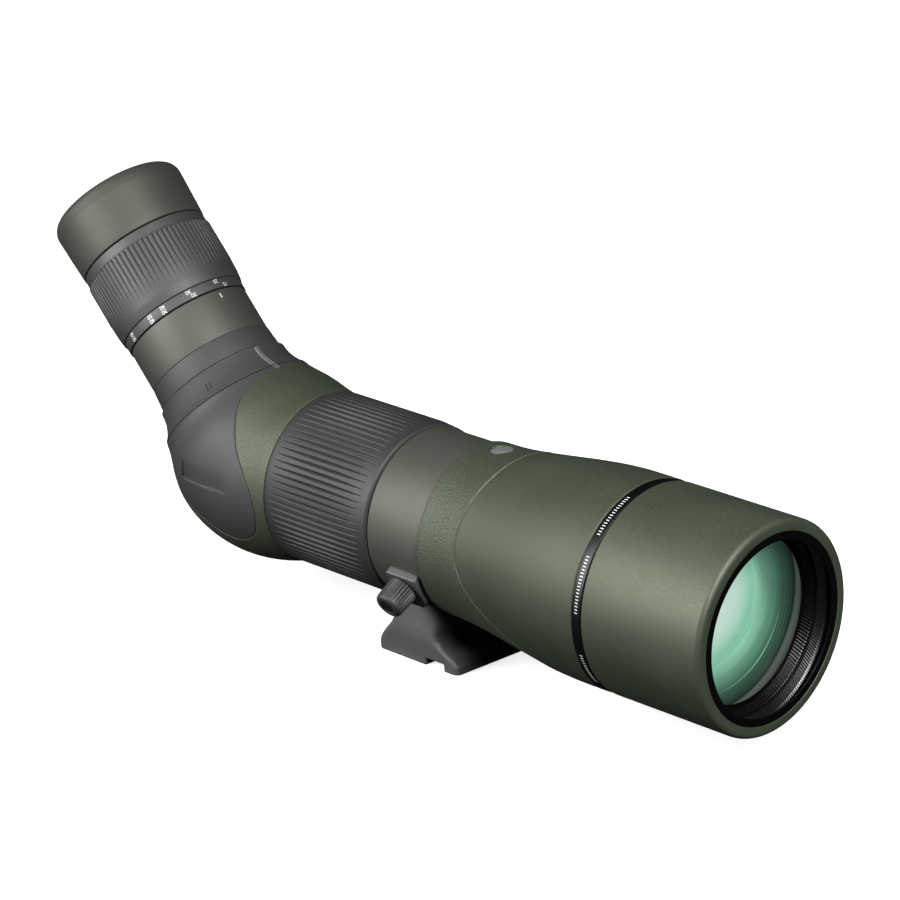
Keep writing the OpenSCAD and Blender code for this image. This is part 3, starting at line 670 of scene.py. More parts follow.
def finish(name):
    """The finish of this name, in the colours set in the panel."""
    settings = looks(bpy.context)
    green, olive, charcoal = settings.green[:], settings.olive[:], settings.charcoal[:]
    # Doubled copies of green and charcoal: painted highlight on the band's bead, painted light on the foot and the
    # index bar.
    highlight_green, charcoal_painted_lit = [c * 2 for c in green], [c * 2 for c in charcoal]
    dark_charcoal = [c * 0.8 for c in charcoal]
    grain, pebble = grain_group(), pebble_hollow_shade_group()

    def grey(level):
        return level, level, level

    # detail group, colour, roughness, detail size, tone (for pebble, also the painted hollow shade), bump in
    # metres, specks, constants
    shades = {
        "green_paint": (grain, green, 0.58, 1500, 0.9, 2.4e-5, 0, satin(1.0, GREEN_SHEEN)),
        "barrel_paint": (grain, green, 0.6, 1500, 0.9, 2.4e-5, 0, satin(0.82, GREEN_SHEEN)),
        "green_rubber": (pebble, green, 0.6, 2100, 1.8, 2.0e-4, 0, satin(1.0, GREEN_SHEEN)),
        "armour_green": (pebble, green, 0.6, 2400, 1.3, 1.2e-4, 0, satin(1.0, GREEN_SHEEN)),
        # Painted highlight: the bead's green, doubled, stands in for light on its rounded edge.
        "bead_painted_highlight": (grain, highlight_green, 0.52, 1500, 0.2, 2e-6, 0, satin(0.85, GREEN_SHEEN)),
        "olive_metal": (grain, olive, 0.6, 1600, 0.6, 1.8e-5, 1.2, satin(0.95, OLIVE_SHEEN)),
        "olive_rubber": (grain, olive, 0.6, 1500, 0.7, 1.8e-5, 0, satin(0.8, OLIVE_SHEEN)),
        "olive_lip": (grain, olive, 0.65, 1500, 0.7, 1.8e-5, 0, satin(0.66, OLIVE_SHEEN)),
        "charcoal_metal": (grain, charcoal, 0.59, 1600, 0.5, 1.4e-5, 0.6, satin(0.92)),
        "charcoal_rubber": (grain, charcoal, 0.58, 1500, 0.5, 1.4e-5, 0.3, satin(0.85)),
        "lock_satin": (grain, charcoal, 0.68, 1600, 0.5, 1.4e-5, 0.6, satin(0.55)),
        "cover_satin": (grain, charcoal, 0.63, 1500, 0.5, 1.4e-5, 0, satin(0.62)),
        # Painted light: charcoal, doubled, makes the foot and the index bar look more lit.
        "satin_painted_lit": (grain, charcoal_painted_lit, 0.6, 1600, 0.5, 1.4e-5, 0.6, satin(0.92)),
        "knob_satin": (grain, dark_charcoal, 0.56, 1600, 0.5, 1.2e-5, 0, satin(0.6)),
        "focus_rubber": (grain, dark_charcoal, 0.57, 1500, 0.3, 8e-6, 0, satin(0.52)),
        "gloss_black": (grain, grey(0.002), 0.38, 900, 0.3, 1e-6, 0, satin(0.32)),
        "black_plastic": (grain, grey(0.003), 0.4, 1800, 0.3, 1e-6, 0, satin(0.5)),
        "black_metal": (grain, grey(0.008), 0.4, 1600, 0.4, 3e-6, 0, satin(0.5)),
        "deep_black": (grain, grey(0.0012), 0.45, 1800, 0.3, 5e-7, 0, satin(0.15)),
        "dark_mark": (grain, grey(0.01), 0.6, 1500, 0.3, 2e-6, 0, satin(0.2)),
        "rib_black": (grain, grey(0.032), 0.33, 1800, 0.1, 5e-7, 0, METAL),
        "rib_front": (grain, grey(0.075), 0.33, 1800, 0.1, 5e-7, 0, METAL),
        "steel": (grain, (0.55, 0.55, 0.56), 0.3, 1200, 0.2, 2e-6, 0, METAL),
        "brass": (grain, (0.65, 0.5, 0.25), 0.32, 1200, 0.25, 2e-6, 0, METAL),
        "nylon": (grain, grey(0.1), 0.5, 1500, 0.25, 4e-6, 0, {}),
        "seal_rubber": (pebble, grey(0.02), 0.6, 1800, 0.5, 1e-5, 0, {}),
        "white_mark": (grain, grey(0.62), 0.5, 1500, 0.15, 2e-6, 0, {}),
        "badge": (grain, grey(0.16), 0.4, 1500, 0.3, 2e-6, 0, {}),
    }
    *values, constants = shades[name]
    return finish_material(name + "_finish", *values, **constants)


def inner_glass():
    """Clear inner glass with a faint tint that thickens in cloudy patches."""
    return finish_material(
        "inner_glass", grain_group(), (0.75, 0.9, 0.82), 0.03, 300.0, 0.08, 1e-7,
        **{"Transmission Weight": 0.9, "IOR": 1.5})


# Painted reflection on the front lens, standing in for light and the parts inside seen through
# the glass: in lens radii from the lens's middle, circles that widen and shift as the arc value
# grows, with a tone for each value.
LENS_RADIUS = 31.2
ARC_MIDDLE, ARC_RADIUS = (-0.69, 0.42), 0.8
ARC_SHIFT, ARC_GROWTH = (0.31, -0.18), 0.312
LENS_REFLECTION_TONES = (
    (-0.7, (0.5, 0.64, 0.56)), (-0.45, (0.42, 0.6, 0.52)), (-0.3, (0.33, 0.56, 0.45)),
    (-0.15, (0.225, 0.49, 0.345)), (0.05, (0.195, 0.43, 0.3)), (0.2, (0.165, 0.36, 0.255)),
    (0.4, (0.11, 0.265, 0.178)), (0.6, (0.067, 0.165, 0.11)), (0.75, (0.04, 0.095, 0.063)),
    (0.9, (0.028, 0.066, 0.044)), (1.03, (0.018, 0.04, 0.028)), (1.11, (0.012, 0.024, 0.017)),
    (1.14, (0.07, 0.092, 0.077)), (1.22, (0.09, 0.115, 0.097)), (1.32, (0.07, 0.085, 0.075)),
    (1.5, (0.05, 0.055, 0.05)),
)
# Painted bright reflection lines: arc value, width, amount, where along the arc, and reach along it.
LENS_REFLECTION_LINES = (
    (-0.02, 0.05, 0.2, 0.1, 1.0), (0.05, 0.03, 0.3, -0.2, 0.8), (0.7, 0.026, 4.0, -0.3, 0.6),
    (0.52, 0.03, 0.25, 0.1, 0.9), (0.81, 0.03, 0.7, 0.0, 0.9), (0.91, 0.03, 0.9, 0.0, 0.9),
    (1.0, 0.03, 0.9, 0.0, 0.9),
)
LENS_ACROSS = (0.5, 0.85)
# Fine hatch lines of painted reflection.
HATCH_RATE, HATCH_LEAN, HATCH_AMOUNT = 215.0, 0.7, 0.26
# The hatched patch of painted reflection: (middle, reach) over the arcs and along them.
PATCH_ARC, PATCH_SIDE, PATCH_LIFT = (0.19, 0.16), (-0.25, 0.75), 0.3
# Plain tone, painted shade over the upper side, and the share of the pattern in the base colour.
PLAIN_TONE, UPPER_SHADE, BODY_SHARE = 1.04, 0.36, 0.3
STREAK_SCALE, STREAK_SHARE = 120.0, 0.12


def lens_painted_reflection_group():
    """Painted reflection on the front lens seen from the front: tones in shifted arcs, with fine bright lines
    between them and painted shade over the upper side.
    """
    name = "Lens Coating"
    if name in bpy.data.node_groups:
        return bpy.data.node_groups[name]
    tree, _ = shader_group(name, (), ("Color", "Body Color"))
    do = partial(math_node, tree)

    def times(value, factor):
        return do("MULTIPLY", value, factor)

    def near(value, at, width):
        """1 at a value, falling to 0 a width away."""
        away = do("ABSOLUTE", do("SUBTRACT", value, at))
        return do("MAXIMUM", do("SUBTRACT", 1.0, do("DIVIDE", away, width)), 0.0)

    def rising(value, rate):
        """0 below nought, rising to 1."""
        return do("MINIMUM", do("MAXIMUM", times(value, rate), 0.0), 1.0)

    spot = tree.nodes.new("ShaderNodeTexCoord").outputs["Object"]
    x, _, z = add_node(tree, "ShaderNodeSeparateXYZ", spot).outputs
    x = do("SUBTRACT", do("DIVIDE", x, LENS_RADIUS * MM), ARC_MIDDLE[0])
    z = do("SUBTRACT", do("DIVIDE", do("SUBTRACT", z, BEND[2] * MM), LENS_RADIUS * MM), ARC_MIDDLE[1])
    square = do("ADD", times(x, x), times(z, z))
    spread = do("ADD", do("ADD", times(x, ARC_SHIFT[0]), times(z, ARC_SHIFT[1])), ARC_GROWTH)
    arc = do("DIVIDE", do("SUBTRACT", square, ARC_RADIUS**2), times(spread, 2.0))
    aside = do("ADD", times(x, LENS_ACROSS[0]), times(z, LENS_ACROSS[1]))

    first, last = LENS_REFLECTION_TONES[0][0], LENS_REFLECTION_TONES[-1][0]
    ramp = add_node(
        tree, "ShaderNodeValToRGB", do("DIVIDE", do("SUBTRACT", arc, first), last - first))
    stops = ramp.color_ramp.elements
    while len(stops) < len(LENS_REFLECTION_TONES):
        stops.new(0.5)
    for stop, (at, tone) in zip(stops, LENS_REFLECTION_TONES):
        stop.position, stop.color = (at - first) / (last - first), (*tone, 1)

    # Painted reflection: fine hatch lines in a patch beside the arcs.
    hatch = do("SINE", times(do("ADD", z, times(x, HATCH_LEAN)), HATCH_RATE))
    patch = times(do("MINIMUM", times(near(arc, *PATCH_ARC), 3.0), 1.0), near(aside, *PATCH_SIDE))
    # Painted shade over the upper side of the lens.
    upper = times(rising(aside, 2.0), rising(arc, 5.0))
    plain = do("ADD", times(patch, PATCH_LIFT), PLAIN_TONE)
    total = do("SUBTRACT", do("ADD", times(times(hatch, patch), HATCH_AMOUNT), plain),
               times(upper, UPPER_SHADE))
    # Painted bright reflection lines along some arcs.
    for at, width, amount, side, reach in LENS_REFLECTION_LINES:
        line = times(near(arc, at, width), near(aside, side, reach))
        total = do("ADD", total, times(line, amount))
    streaks = texture(tree, "ShaderNodeTexNoise", STREAK_SCALE, Detail=2.0).outputs["Fac"]
    total = times(total, do("ADD", 1 - STREAK_SHARE / 2, times(streaks, STREAK_SHARE)))
    add_node(tree, "NodeGroupOutput", **{
        "Color": tinted(tree, ramp.outputs[0], total),
        "Body Color": tinted(tree, ramp.outputs[0], times(total, BODY_SHARE))})
    return tree


def lens_with_painted_reflection():
    """Front lens: its painted reflection, glowing, under a clear gloss coat."""
    known = bpy.data.materials.get("lens_with_painted_reflection")
    if known:
        return known
    made, tree, shader = new_material("lens_with_painted_reflection")
    pattern = add_node(tree, "ShaderNodeGroup", node_tree=lens_painted_reflection_group())
    # The painted reflection is given as emission, so the lens glows, and a darker share of it is the base colour.
    feed(tree, shader, {
        "Base Color": pattern.outputs["Body Color"], "Emission Color": pattern.outputs["Color"],
        "Emission Strength": 0.75, "Roughness": 0.1, "Specular IOR Level": 0.2,
        "Coat Weight": 0.3, "Coat Roughness": 0.03})
    return made


# --- what the user may change ---


class ScopeLooks(bpy.types.PropertyGroup):
    """Sizes and colours of the scope's outside."""

    green: bpy.props.FloatVectorProperty(
        name="Green", description="Paint of the barrel and the sunshade", subtype="COLOR",
        size=3, min=0, max=1, default=(0.027, 0.036, 0.023))
    olive: bpy.props.FloatVectorProperty(
        name="Olive", description="Collar, eyepiece barrel and eyecup", subtype="COLOR",
        size=3, min=0, max=1, default=(0.036, 0.036, 0.031))
    charcoal: bpy.props.FloatVectorProperty(
        name="Charcoal", description="Focus ring, cover, foot and zoom ring", subtype="COLOR",
        size=3, min=0, max=1, default=(0.032, 0.032, 0.032))
    focus_flutes: bpy.props.IntProperty(
        name="Focus flutes", description="Flutes round the focus ring", default=80, min=24, max=96)
    focus_depth: bpy.props.FloatProperty(
        name="Focus flute depth", description="Depth of a focus flute", unit="LENGTH",
        default=0.0008, min=0.0003, max=0.0012)
    zoom_flutes: bpy.props.IntProperty(
        name="Zoom flutes", description="Flutes round the zoom ring", default=78, min=30, max=110)
    zoom_depth: bpy.props.FloatProperty(
        name="Zoom flute depth", description="Depth of a zoom flute", unit="LENGTH",
        default=0.00065, min=0.0003, max=0.001)
    knob_ribs: bpy.props.IntProperty(
        name="Knob ribs", description="Ribs round the lock knob", default=26, min=12, max=40)
    key_power: bpy.props.FloatProperty(
        name="Key light", description="Power of the light at the left", default=18.0, min=0)
    fill_power: bpy.props.FloatProperty(
        name="Fill light", description="Power of the light above the front", default=25.0, min=0)


def looks(context):
    """The scope's settings."""
    return context.scene.scope_looks


# --- pieces ---


class SCOPE_OT_sunshade(bpy.types.Operator):
    """Sunshade with its rounded rim, the black sleeve and lip inside, and the ribbed liner"""

    bl_idname = "scope.sunshade"
    bl_label = "Sunshade"

    def execute(self, context):
        rear, rim, front = 202.9, 254.9, 257.5
        outer, wall, sleeve, bore, mouth, lip = 40.2, 39.2, 38.4, 38.35, 35.58, 32.45
        fit = 0.05
        hood = [(wall, rear), (outer, rear, 0.9), (outer, front, 2.2), (mouth, front, 0.25),
                (mouth, rim), (wall, rim)]
        settle(turned("hood", hood, MAIN, finish("green_paint"), 320),
               "sunshade", "green_metal", "sunshade")
        lining = [(sleeve, rear, 0.2), (wall - fit, rear), (wall - fit, rim - fit), (sleeve, rim - fit)]
        settle(turned("hood_sleeve", lining, MAIN, finish("deep_black")), "sunshade", "black_plastic")
        liner = [(bore, 252.9), (bore, 254.8), (35.52, 254.8), (35.52, 257.4, 0.18), (lip, 257.4, 0.3),
                 (lip, 256.7, 0.2), (34.4, 256.4), (34.6, 254.6, 0.2), (37.2, 254.3, 0.2),
                 (37.2, 252.9)]
        settle(turned("hood_liner", liner, MAIN, finish("deep_black"), 320),
               "sunshade", "black_plastic", "shade_liner")
        ribs = [(bore, 248.2), (bore, 251.9), (37.3, 251.9, 0.1), (36.6, 251.2, 0.2),
                (35.2, 248.2, 0.2)]
        piece = fluted(
            "liner_ribs", ribs, MAIN, finish("rib_front"), 230, 10, (248, 253, 14), depth=0.12,
            middle=248.5, half_length=8, slope=0.24, soften=0.03, wall_limit=37.6, side=-1, twist=16)
        settle(piece, "sunshade", "black_plastic", "shade_liner")
        return {"FINISHED"}


BARREL_REAR, BARREL_FRONT = 115.7, 198.4
BARREL_SLIM, BARREL_WIDE = 33.7, 40.2
FLARE_FROM, FLARE_RUN = 118, 70
BADGE_AT, BADGE_WELL = 126.4, 4.8
BADGE_FOOT, BADGE_LEAN = 128.38, (0, 0.0588, 0.9983)
# Fields on the barrel's skin: distances from the armour band's edge and the badge well, station.
EDGE, WELL, STATION, BARREL_NORMAL = 0, 1, 2, slice(3, 6)


def barrel_radius(s):
    """Radius of the flared barrel at a station."""
    flare = step((np.asarray(s, float) - FLARE_FROM) / FLARE_RUN)
    return BARREL_SLIM + (BARREL_WIDE - BARREL_SLIM) * flare


def band_edge(height):
    """Station of the armour band's front edge at a height above the axis, and its slope."""
    tip, tip_height, bow_above, bow_below = 134.8, 9, 0.0069, 0.0222
    up = np.asarray(height, float) - tip_height
    bow = np.where(up > 0, bow_above, bow_below)
    return tip + bow * up * up, 2 * bow * up


def barrel_skin():
    """A grid over the flared barrel: points, fields and faces."""
    columns, far = 480, 50
    rows = np.concatenate([
        BARREL_REAR + np.array([0, 0.1, 0.25, 0.5]),
        np.arange(BARREL_REAR + 1, BARREL_FRONT - 0.8, 0.62),
        BARREL_FRONT - np.array([0.7, 0.5, 0.35, 0.2, 0.1, 0]),
    ])
    s, a = np.meshgrid(rows, np.arange(columns) * FULL_TURN / columns, indexing="ij")
    r = barrel_radius(s)
    slope = (barrel_radius(s + 0.05) - barrel_radius(s - 0.05)) / 0.1
    points = np.stack([r * np.cos(a), r * np.sin(a), s], -1).reshape(-1, 3)
    normals = unit(np.stack([np.cos(a), np.sin(a), -slope], -1).reshape(-1, 3))
    edge, lean = band_edge(points[:, 1])
    across = (points[:, 2] - edge) / np.sqrt(1 + lean * lean)
    well = np.hypot(points[:, 2] - BADGE_AT, points[:, 0]) - BADGE_WELL
    well[points[:, 1] < 0] = far
    fields = np.column_stack([across, well, points[:, 2], normals])
    return points, fields, grid_faces(len(rows), columns)


class SCOPE_OT_objective(bpy.types.Operator):
    """Flared barrel, armour band, badge place, trim ring and front lens"""

    bl_idname = "scope.objective"
    bl_label = "Objective"

    def execute(self, context):
        self.add_barrel()
        self.add_trim()
        self.add_lens()
        return {"FINISHED"}

    def add_barrel(self):
        """Barrel, armour band and the bead between them, painted pale as a highlight, the core under them and the
        badge.
        """
        gap, soft, bead_rise = 0.22, 0.4, 0.12
        well_depth, well_slope, well_lip, lip_width = 0.45, 0.3, 0.12, 0.35
        skin = barrel_skin()
        edges = [gap, gap + 0.05, gap + 0.18, gap + soft]
        for level in [-v for v in edges] + [-bead_rise, 0.0, bead_rise] + edges:
            skin = split(skin, EDGE, level)
        for level in (-0.45, -0.3, 0.0, 0.12, 0.35):
            skin = split(skin, WELL, level)
        for name, level, above, slot, shade, node in (
            ("barrel_armour_band", -gap, False, "green_rubber", "green_rubber", "barrel_armour"),
            ("barrel", gap, True, "green_metal", "barrel_paint", "objective_barrel"),
        ):
            points, f, faces = keep(skin, EDGE, level, above)
            normals = unit(f[:, BARREL_NORMAL])
            well, station = f[:, WELL], f[:, STATION]
            sink = eased_edge(np.abs(f[:, EDGE]) - gap, soft)
            sink += eased_edge(station - BARREL_REAR, 0.5) + eased_edge(BARREL_FRONT - station, 0.7)
            sink += well_depth * step(-well / well_slope)
            sink -= well_lip * step((lip_width - well) / well_slope) * (well > -0.01)
            points = points - normals * sink[:, None]
            settle(skin_wall(name, points, normals, faces, 1.0, finish(shade), 40),
                   "scope_body", slot, node)
        points, f, faces = keep(keep(skin, EDGE, -gap, True), EDGE, gap, False)
        normals = unit(f[:, BARREL_NORMAL])
        points = points + normals * (bead_rise - 0.3 * (f[:, :1] / gap) ** 2)
        # The bead's pale green is a painted highlight along the band's edge.
        settle(skin_wall("band_bead", points, normals, faces, 0.6, finish("bead_painted_highlight"), 60),
               "scope_body", "green_metal")
        outer, inner, bore, rear = 1.9, 4.6, 28.95, 116.2
        core = [(bore, rear)] + [(barrel_radius(v) - outer, v) for v in np.linspace(rear, 190, 26)]
        core += [(38.0, 197.0), (38.0, 247.8, 0.4), (35.45, 247.8), (35.45, 213), (33.8, 213)]
        core += [(barrel_radius(v) - inner, v) for v in np.linspace(190, 136, 8)] + [(bore, 127)]
        settle(turned("barrel_core", core, MAIN, finish("black_metal"), 200),
               "scope_body", "green_metal", "objective_barrel")
        top, foot = 33.64, 32.7
        disc = [(0, top), (4.1, top), (4.35, top - 0.12), (4.35, foot), (0, foot)]
        badge = axes(place([[0, 0, BADGE_FOOT]], MAIN)[0], BADGE_LEAN, (1, 0, 0))
        settle(turned("badge_place", disc, badge, finish("badge"), 64), "scope_body", "green_rubber")

    def add_trim(self):
        """Black trim ring with plain strokes round it."""
        inner, outer, rear, front = 38.05, 39.9, 198.45, 202.6
        trim = [(inner, rear), (outer, rear, 0.35), (outer, front, 0.3), (inner, front)]
        settle(turned("trim_band", trim, MAIN, finish("gloss_black"), 320),
               "scope_body", "gloss_black", "trim_ring")
        groups, pitch = ((19, 47), (58, 88), (113, 135)), 1.75
        marks = [-a for low, high in groups for a in np.arange(low, high, pitch)]
        settle(ticks("trim_marks", marks, outer, 199.85, 201.2, 0.38, MAIN, finish("white_mark")),
               "scope_body", "gloss_black")

    def add_lens(self):
        """Ridged lens ring, the black bevel inside it and the front lens with its painted reflection."""
        keeper = [(35.4, 243.2), (35.4, 247.6), (34.75, 247.6, 0.5), (32.95, 244.2, 0.15),
                  (32.95, 243.9), (33.3, 243.2)]
        piece = fluted(
            "lens_ring", keeper, MAIN, finish("rib_black"), 180, 10, (243, 248, 16), depth=0.13,
            middle=246.5, half_length=6, slope=0.22, soften=0.03, wall_limit=35.1, side=-1, twist=11)
        settle(piece, "scope_body", "black_metal", "lens_retaining_ring")
        bevel = [(33.25, 242.6), (33.25, 243.1), (32.85, 244.15, 0.1), (31.0, 244.6, 0.15),
                 (31.0, 244.35, 0.1), (32.0, 243.75), (32.0, 242.6)]
        settle(turned("lens_bevel", bevel, MAIN, finish("deep_black")), "scope_body", "lens_glass")
        back, rim, edge, curve = 240.5, 33.2, 32.3, 150
        dome = [(v, 243.4 + math.sqrt(curve**2 - v * v) - math.sqrt(curve**2 - edge**2))
                for v in np.linspace(edge, 0, 30)]
        lens = [(0, back), (rim, back), (rim, 243.0), *dome]
        settle(turned("front_lens_painted_reflection", lens, MAIN, lens_with_painted_reflection()),
               "scope_body", "lens_glass", "front_lens")


# The foot's half lengths behind and ahead of its middle, at heights above its base.
FOOT_MIDDLE = BEND[1] - 102.3
FOOT_HEIGHTS = (0.0, 3.0, 5.0, 7.0, 9.0, 11.0, 13.0, 15.0, 17.0, 40.0)
FOOT_REAR = (21.5, 21.5, 20.8, 19.4, 17.7, 16.0, 14.3, 13.2, 12.6, 12.4)
FOOT_FRONT = (20.15, 19.7, 18.2, 15.4, 12.3, 10.4, 10.0, 10.3, 10.8, 11.3)
FOOT_HALF_WIDTH, FOOT_SWELL, FOOT_SWELL_BY = 19.25, 1.4, 12
FOOT_TAPER, FOOT_TAPER_FROM, FOOT_TOP = 0.06, 14, 30
# The boss stands out of the foot's side, round the lock screw: (up, station) in plan.
BOSS_TURN, BOSS_ROOT, BOSS_FACE = math.radians(121), 20, 34.9
BOSS_MIDDLE, BOSS_HALF = (-1.6, 105.9), (8.0, 7.4)
BOSS_LOWER_CORNER, BOSS_UPPER_CORNER = 4.5, 0.8
COLLAR_SEAT = 32.42
SLOT_MIDDLE, SLOT_HALF = (0, BEND[1] - 110.7, -1), (40, 4.7, 4)
BUSH_RADIUS, BUSH_DEPTH = 5.02, 9
SCREW_RADIUS, SCREW_DEPTH, SCREW_X, SCREW_Y = 2.6, 6, (-9, 9), (-8.4, 6.8)


def foot_field(p):
    """Distance field of the foot and the boss, in the frame's millimetres."""
    x, y, z = p.T
    y = y - FOOT_MIDDLE
    front, rear = np.interp(z, FOOT_HEIGHTS, FOOT_FRONT), np.interp(z, FOOT_HEIGHTS, FOOT_REAR)
    ends = (np.abs(y) - np.where(y < 0, front, rear)) * 0.8
    half_width = FOOT_HALF_WIDTH + FOOT_SWELL * step(z / FOOT_SWELL_BY)
    half_width -= FOOT_TAPER * np.maximum(z - FOOT_TAPER_FROM, 0)
    form = smooth_max(smooth_max(ends, np.abs(x) - half_width, 2.4), -z, 0.5)
    form = np.maximum(form, z - FOOT_TOP)

    side, height, station = ((p - MAIN[:3, 3]) @ MAIN[:3, :3]).T
    out = -side * math.sin(BOSS_TURN) + height * math.cos(BOSS_TURN)
    up = side * math.cos(BOSS_TURN) + height * math.sin(BOSS_TURN)
    corner = np.where(up < -2, BOSS_LOWER_CORNER, BOSS_UPPER_CORNER)
    plan = box_field(np.column_stack([up, station]) - BOSS_MIDDLE, BOSS_HALF - corner[:, None])
    plan = plan - corner
    boss = np.maximum(smooth_max(plan, out - BOSS_FACE, 0.7), BOSS_ROOT - out)
    form = smooth_min(form, boss, 0.7)
    form = np.maximum(form, COLLAR_SEAT - np.hypot(side, height))

    slot = box_field(p - SLOT_MIDDLE, SLOT_HALF)
    form = smooth_max(form, -slot, 0.5)
    bush = np.hypot(x, p[:, 1]) - BUSH_RADIUS
    form = np.maximum(form, -np.maximum(bush, z - BUSH_DEPTH))
    for screw_x in SCREW_X:
        for screw_y in SCREW_Y:
            hole = np.hypot(x - screw_x, y - screw_y) - SCREW_RADIUS
            form = np.maximum(form, -np.maximum(hole, z - SCREW_DEPTH))
    return form


class SCOPE_OT_collar(bpy.types.Operator):
    """Rotating collar, tripod foot with its boss, and the ribbed lock knob"""

    bl_idname = "scope.collar"
    bl_label = "Tripod collar"

    def execute(self, context):
        inner, outer, rear, front = 28.95, 32.4, 88.2, 115.2
        ring = [(inner, rear), (outer, rear, 0.6), (outer, front, 0.6), (inner, front)]
        settle(turned("collar", ring, MAIN, finish("olive_metal")),
               "tripod_collar", "olive_metal", "collar_ring")
        size = 0.34
        low, high = (-34, FOOT_MIDDLE - 22, -1.2), (24, FOOT_MIDDLE + 22, 42)
        points, faces = surface_net(foot_field, low, high, size)
        # The foot's lighter charcoal is painted light.
        settle(make_object("foot", points, faces, finish("satin_painted_lit"), 60),
               "tripod_collar", "charcoal_metal", "tripod_foot")
        knob = [(1.5, 35.4), (6.0, 35.4, 0.4), (5.55, 45.4, 1.7), (3.0, 45.4, 0.25), (2.9, 45.15),
                (1.5, 45.15)]
        piece = fluted(
            "knob", knob, KNOB, finish("knob_satin"), looks(context).knob_ribs, 16, (35.7, 44.6, 28),
            depth=0.55, middle=35.5, half_length=9.4, slope=1.0, soften=0.08, wall_limit=3.6)
        settle(piece, "lock_knob", "charcoal_metal", "lock_knob")
        plug = [(0, 45.2), (2.75, 45.2), (2.9, 45.05), (2.9, 44.0), (0, 44.0)]
        settle(turned("knob_end", plug, KNOB, finish("dark_mark"), 48), "lock_knob", "charcoal_metal")
        return {"FINISHED"}


class SCOPE_OT_focus_ring(bpy.types.Operator):
    """Wide focus ring with leaf-shaped flutes"""

    bl_idname = "scope.focus_ring"
    bl_label = "Focus ring"

    def execute(self, context):
        settings = looks(context)
        inner, outer, rear, front = 31.4, 33.85, 33.9, 87.7
        outline = [(inner, rear), (33.75, rear, 0.5), (outer, 36.6), (outer, 80.2, 3),
                   (33.28, 87.0, 0.15), (32.65, front), (inner, front)]
        piece = fluted(
            "focus_grip", outline, MAIN, finish("focus_rubber"), settings.focus_flutes, 16,
            (rear, 88, 58), depth=settings.focus_depth / MM, middle=60.3, half_length=24.7, slope=1.2,
            soften=0.1, wall_limit=32.2)
        settle(piece, "focus_ring", "charcoal_rubber", "focus_ring")
        return {"FINISHED"}


# The prism cover's border in side view: (station, height).
COVER_BORDER = (
    (8.2, 60), (8.1, 45), (8.0, 38), (8.3, 33), (10, 29), (12.5, 24.7), (15.1, 20.1), (17.8, 15.3),
    (20.7, 11.4), (23.6, 7.1), (26.3, 1.8), (27.7, -2.5), (28.2, -8.2), (26.8, -15), (23.1, -19.6),
    (18, -22.2), (12.1, -23.1), (4.3, -21.6), (-1.6, -19.0), (-8, -16.2), (-20, -11.4), (-38, -7),
    (-60, -4),
)
COVER_BEHIND = (-60, 60)
PLATE_LEFT, PLATE_LOW = -11, -2.6
HOUSING_FRONT, HOUSING_NECK, NECK_TILT = 33.4, 23.35, 45
# Planes through the elbow's pivot: tilt in degrees, reach to the skin at the top and the bottom,
# and half width.
HOUSING_TILTS = (0, 7.5, 15, 22.5, 30, 37.5, NECK_TILT)
HOUSING_INNER = (33.0, 32.7, 32.8, 33.0, 34.2, 36.1, 38.6)
HOUSING_OUTER = (99.8, 104.4, 108.1, 110.3, 110.1, 107.2, 102.4)
HOUSING_WIDTH = (33.3, 35.5, 36.9, 37.4, 37.2, 34.6, 31.8)
# Fields on the housing's skin: distances from the cover's border, the plate's left and lower
# edges and the housing's ends.
BORDER, LEFT, LOW, ENDS, HOUSING_NORMAL = 0, 1, 2, 3, slice(4, 7)


def smooth_line(points, steps=10):
    """A smooth line through the points."""
    p = np.array(points, float)
    p = np.vstack([2 * p[0] - p[1], p, 2 * p[-1] - p[-2]])
    made = []
    for a, b, c, d in zip(p, p[1:], p[2:], p[3:]):
        for k in range(steps):
            t = k / steps
            made.append(0.5 * (2 * b + (c - a) * t + (2 * a - 5 * b + 4 * c - d) * t * t
                               + (3 * b - a - 3 * c + d) * t**3))
    made.append(p[-2])
    return np.array(made)


def cover_distance(s, h):
    """Signed distance from the cover's border in side view, negative on the cover."""
    line = smooth_line(COVER_BORDER)
    outline = np.vstack([line, [COVER_BEHIND]])
    spots = np.column_stack([s, h])
    best = np.full(len(spots), np.inf)
    for a, b in zip(line, line[1:]):
        along = b - a
        t = np.clip(((spots - a) @ along) / (along @ along), 0, 1)
        best = np.minimum(best, np.hypot(*(spots - a - t[:, None] * along).T))
    inside = np.zeros(len(spots), bool)
    for a, b in zip(outline, np.roll(outline, -1, 0)):
        rise = b[1] - a[1]
        if rise:
            crosses = (a[1] > spots[:, 1]) != (b[1] > spots[:, 1])
            inside ^= crosses & (spots[:, 0] < a[0] + (spots[:, 1] - a[1]) / rise * (b[0] - a[0]))
    return np.where(inside, -best, best)


def housing_at(tilt, angle):
    """(x, station, height) on the housing: ellipses on planes that turn about the elbow's pivot."""
    inner, outer, width = (
        np.polynomial.Polynomial.fit(HOUSING_TILTS, v, len(v) - 1)(np.degrees(tilt))
        for v in (HOUSING_INNER, HOUSING_OUTER, HOUSING_WIDTH))
    reach = (inner + outer) / 2 - (outer - inner) / 2 * np.cos(angle)
    pivot = HOUSING_FRONT + HOUSING_NECK * math.sqrt(2)
    return np.stack(
        [width * np.sin(angle), HOUSING_FRONT - reach * np.sin(tilt), pivot - reach * np.cos(tilt)], -1)


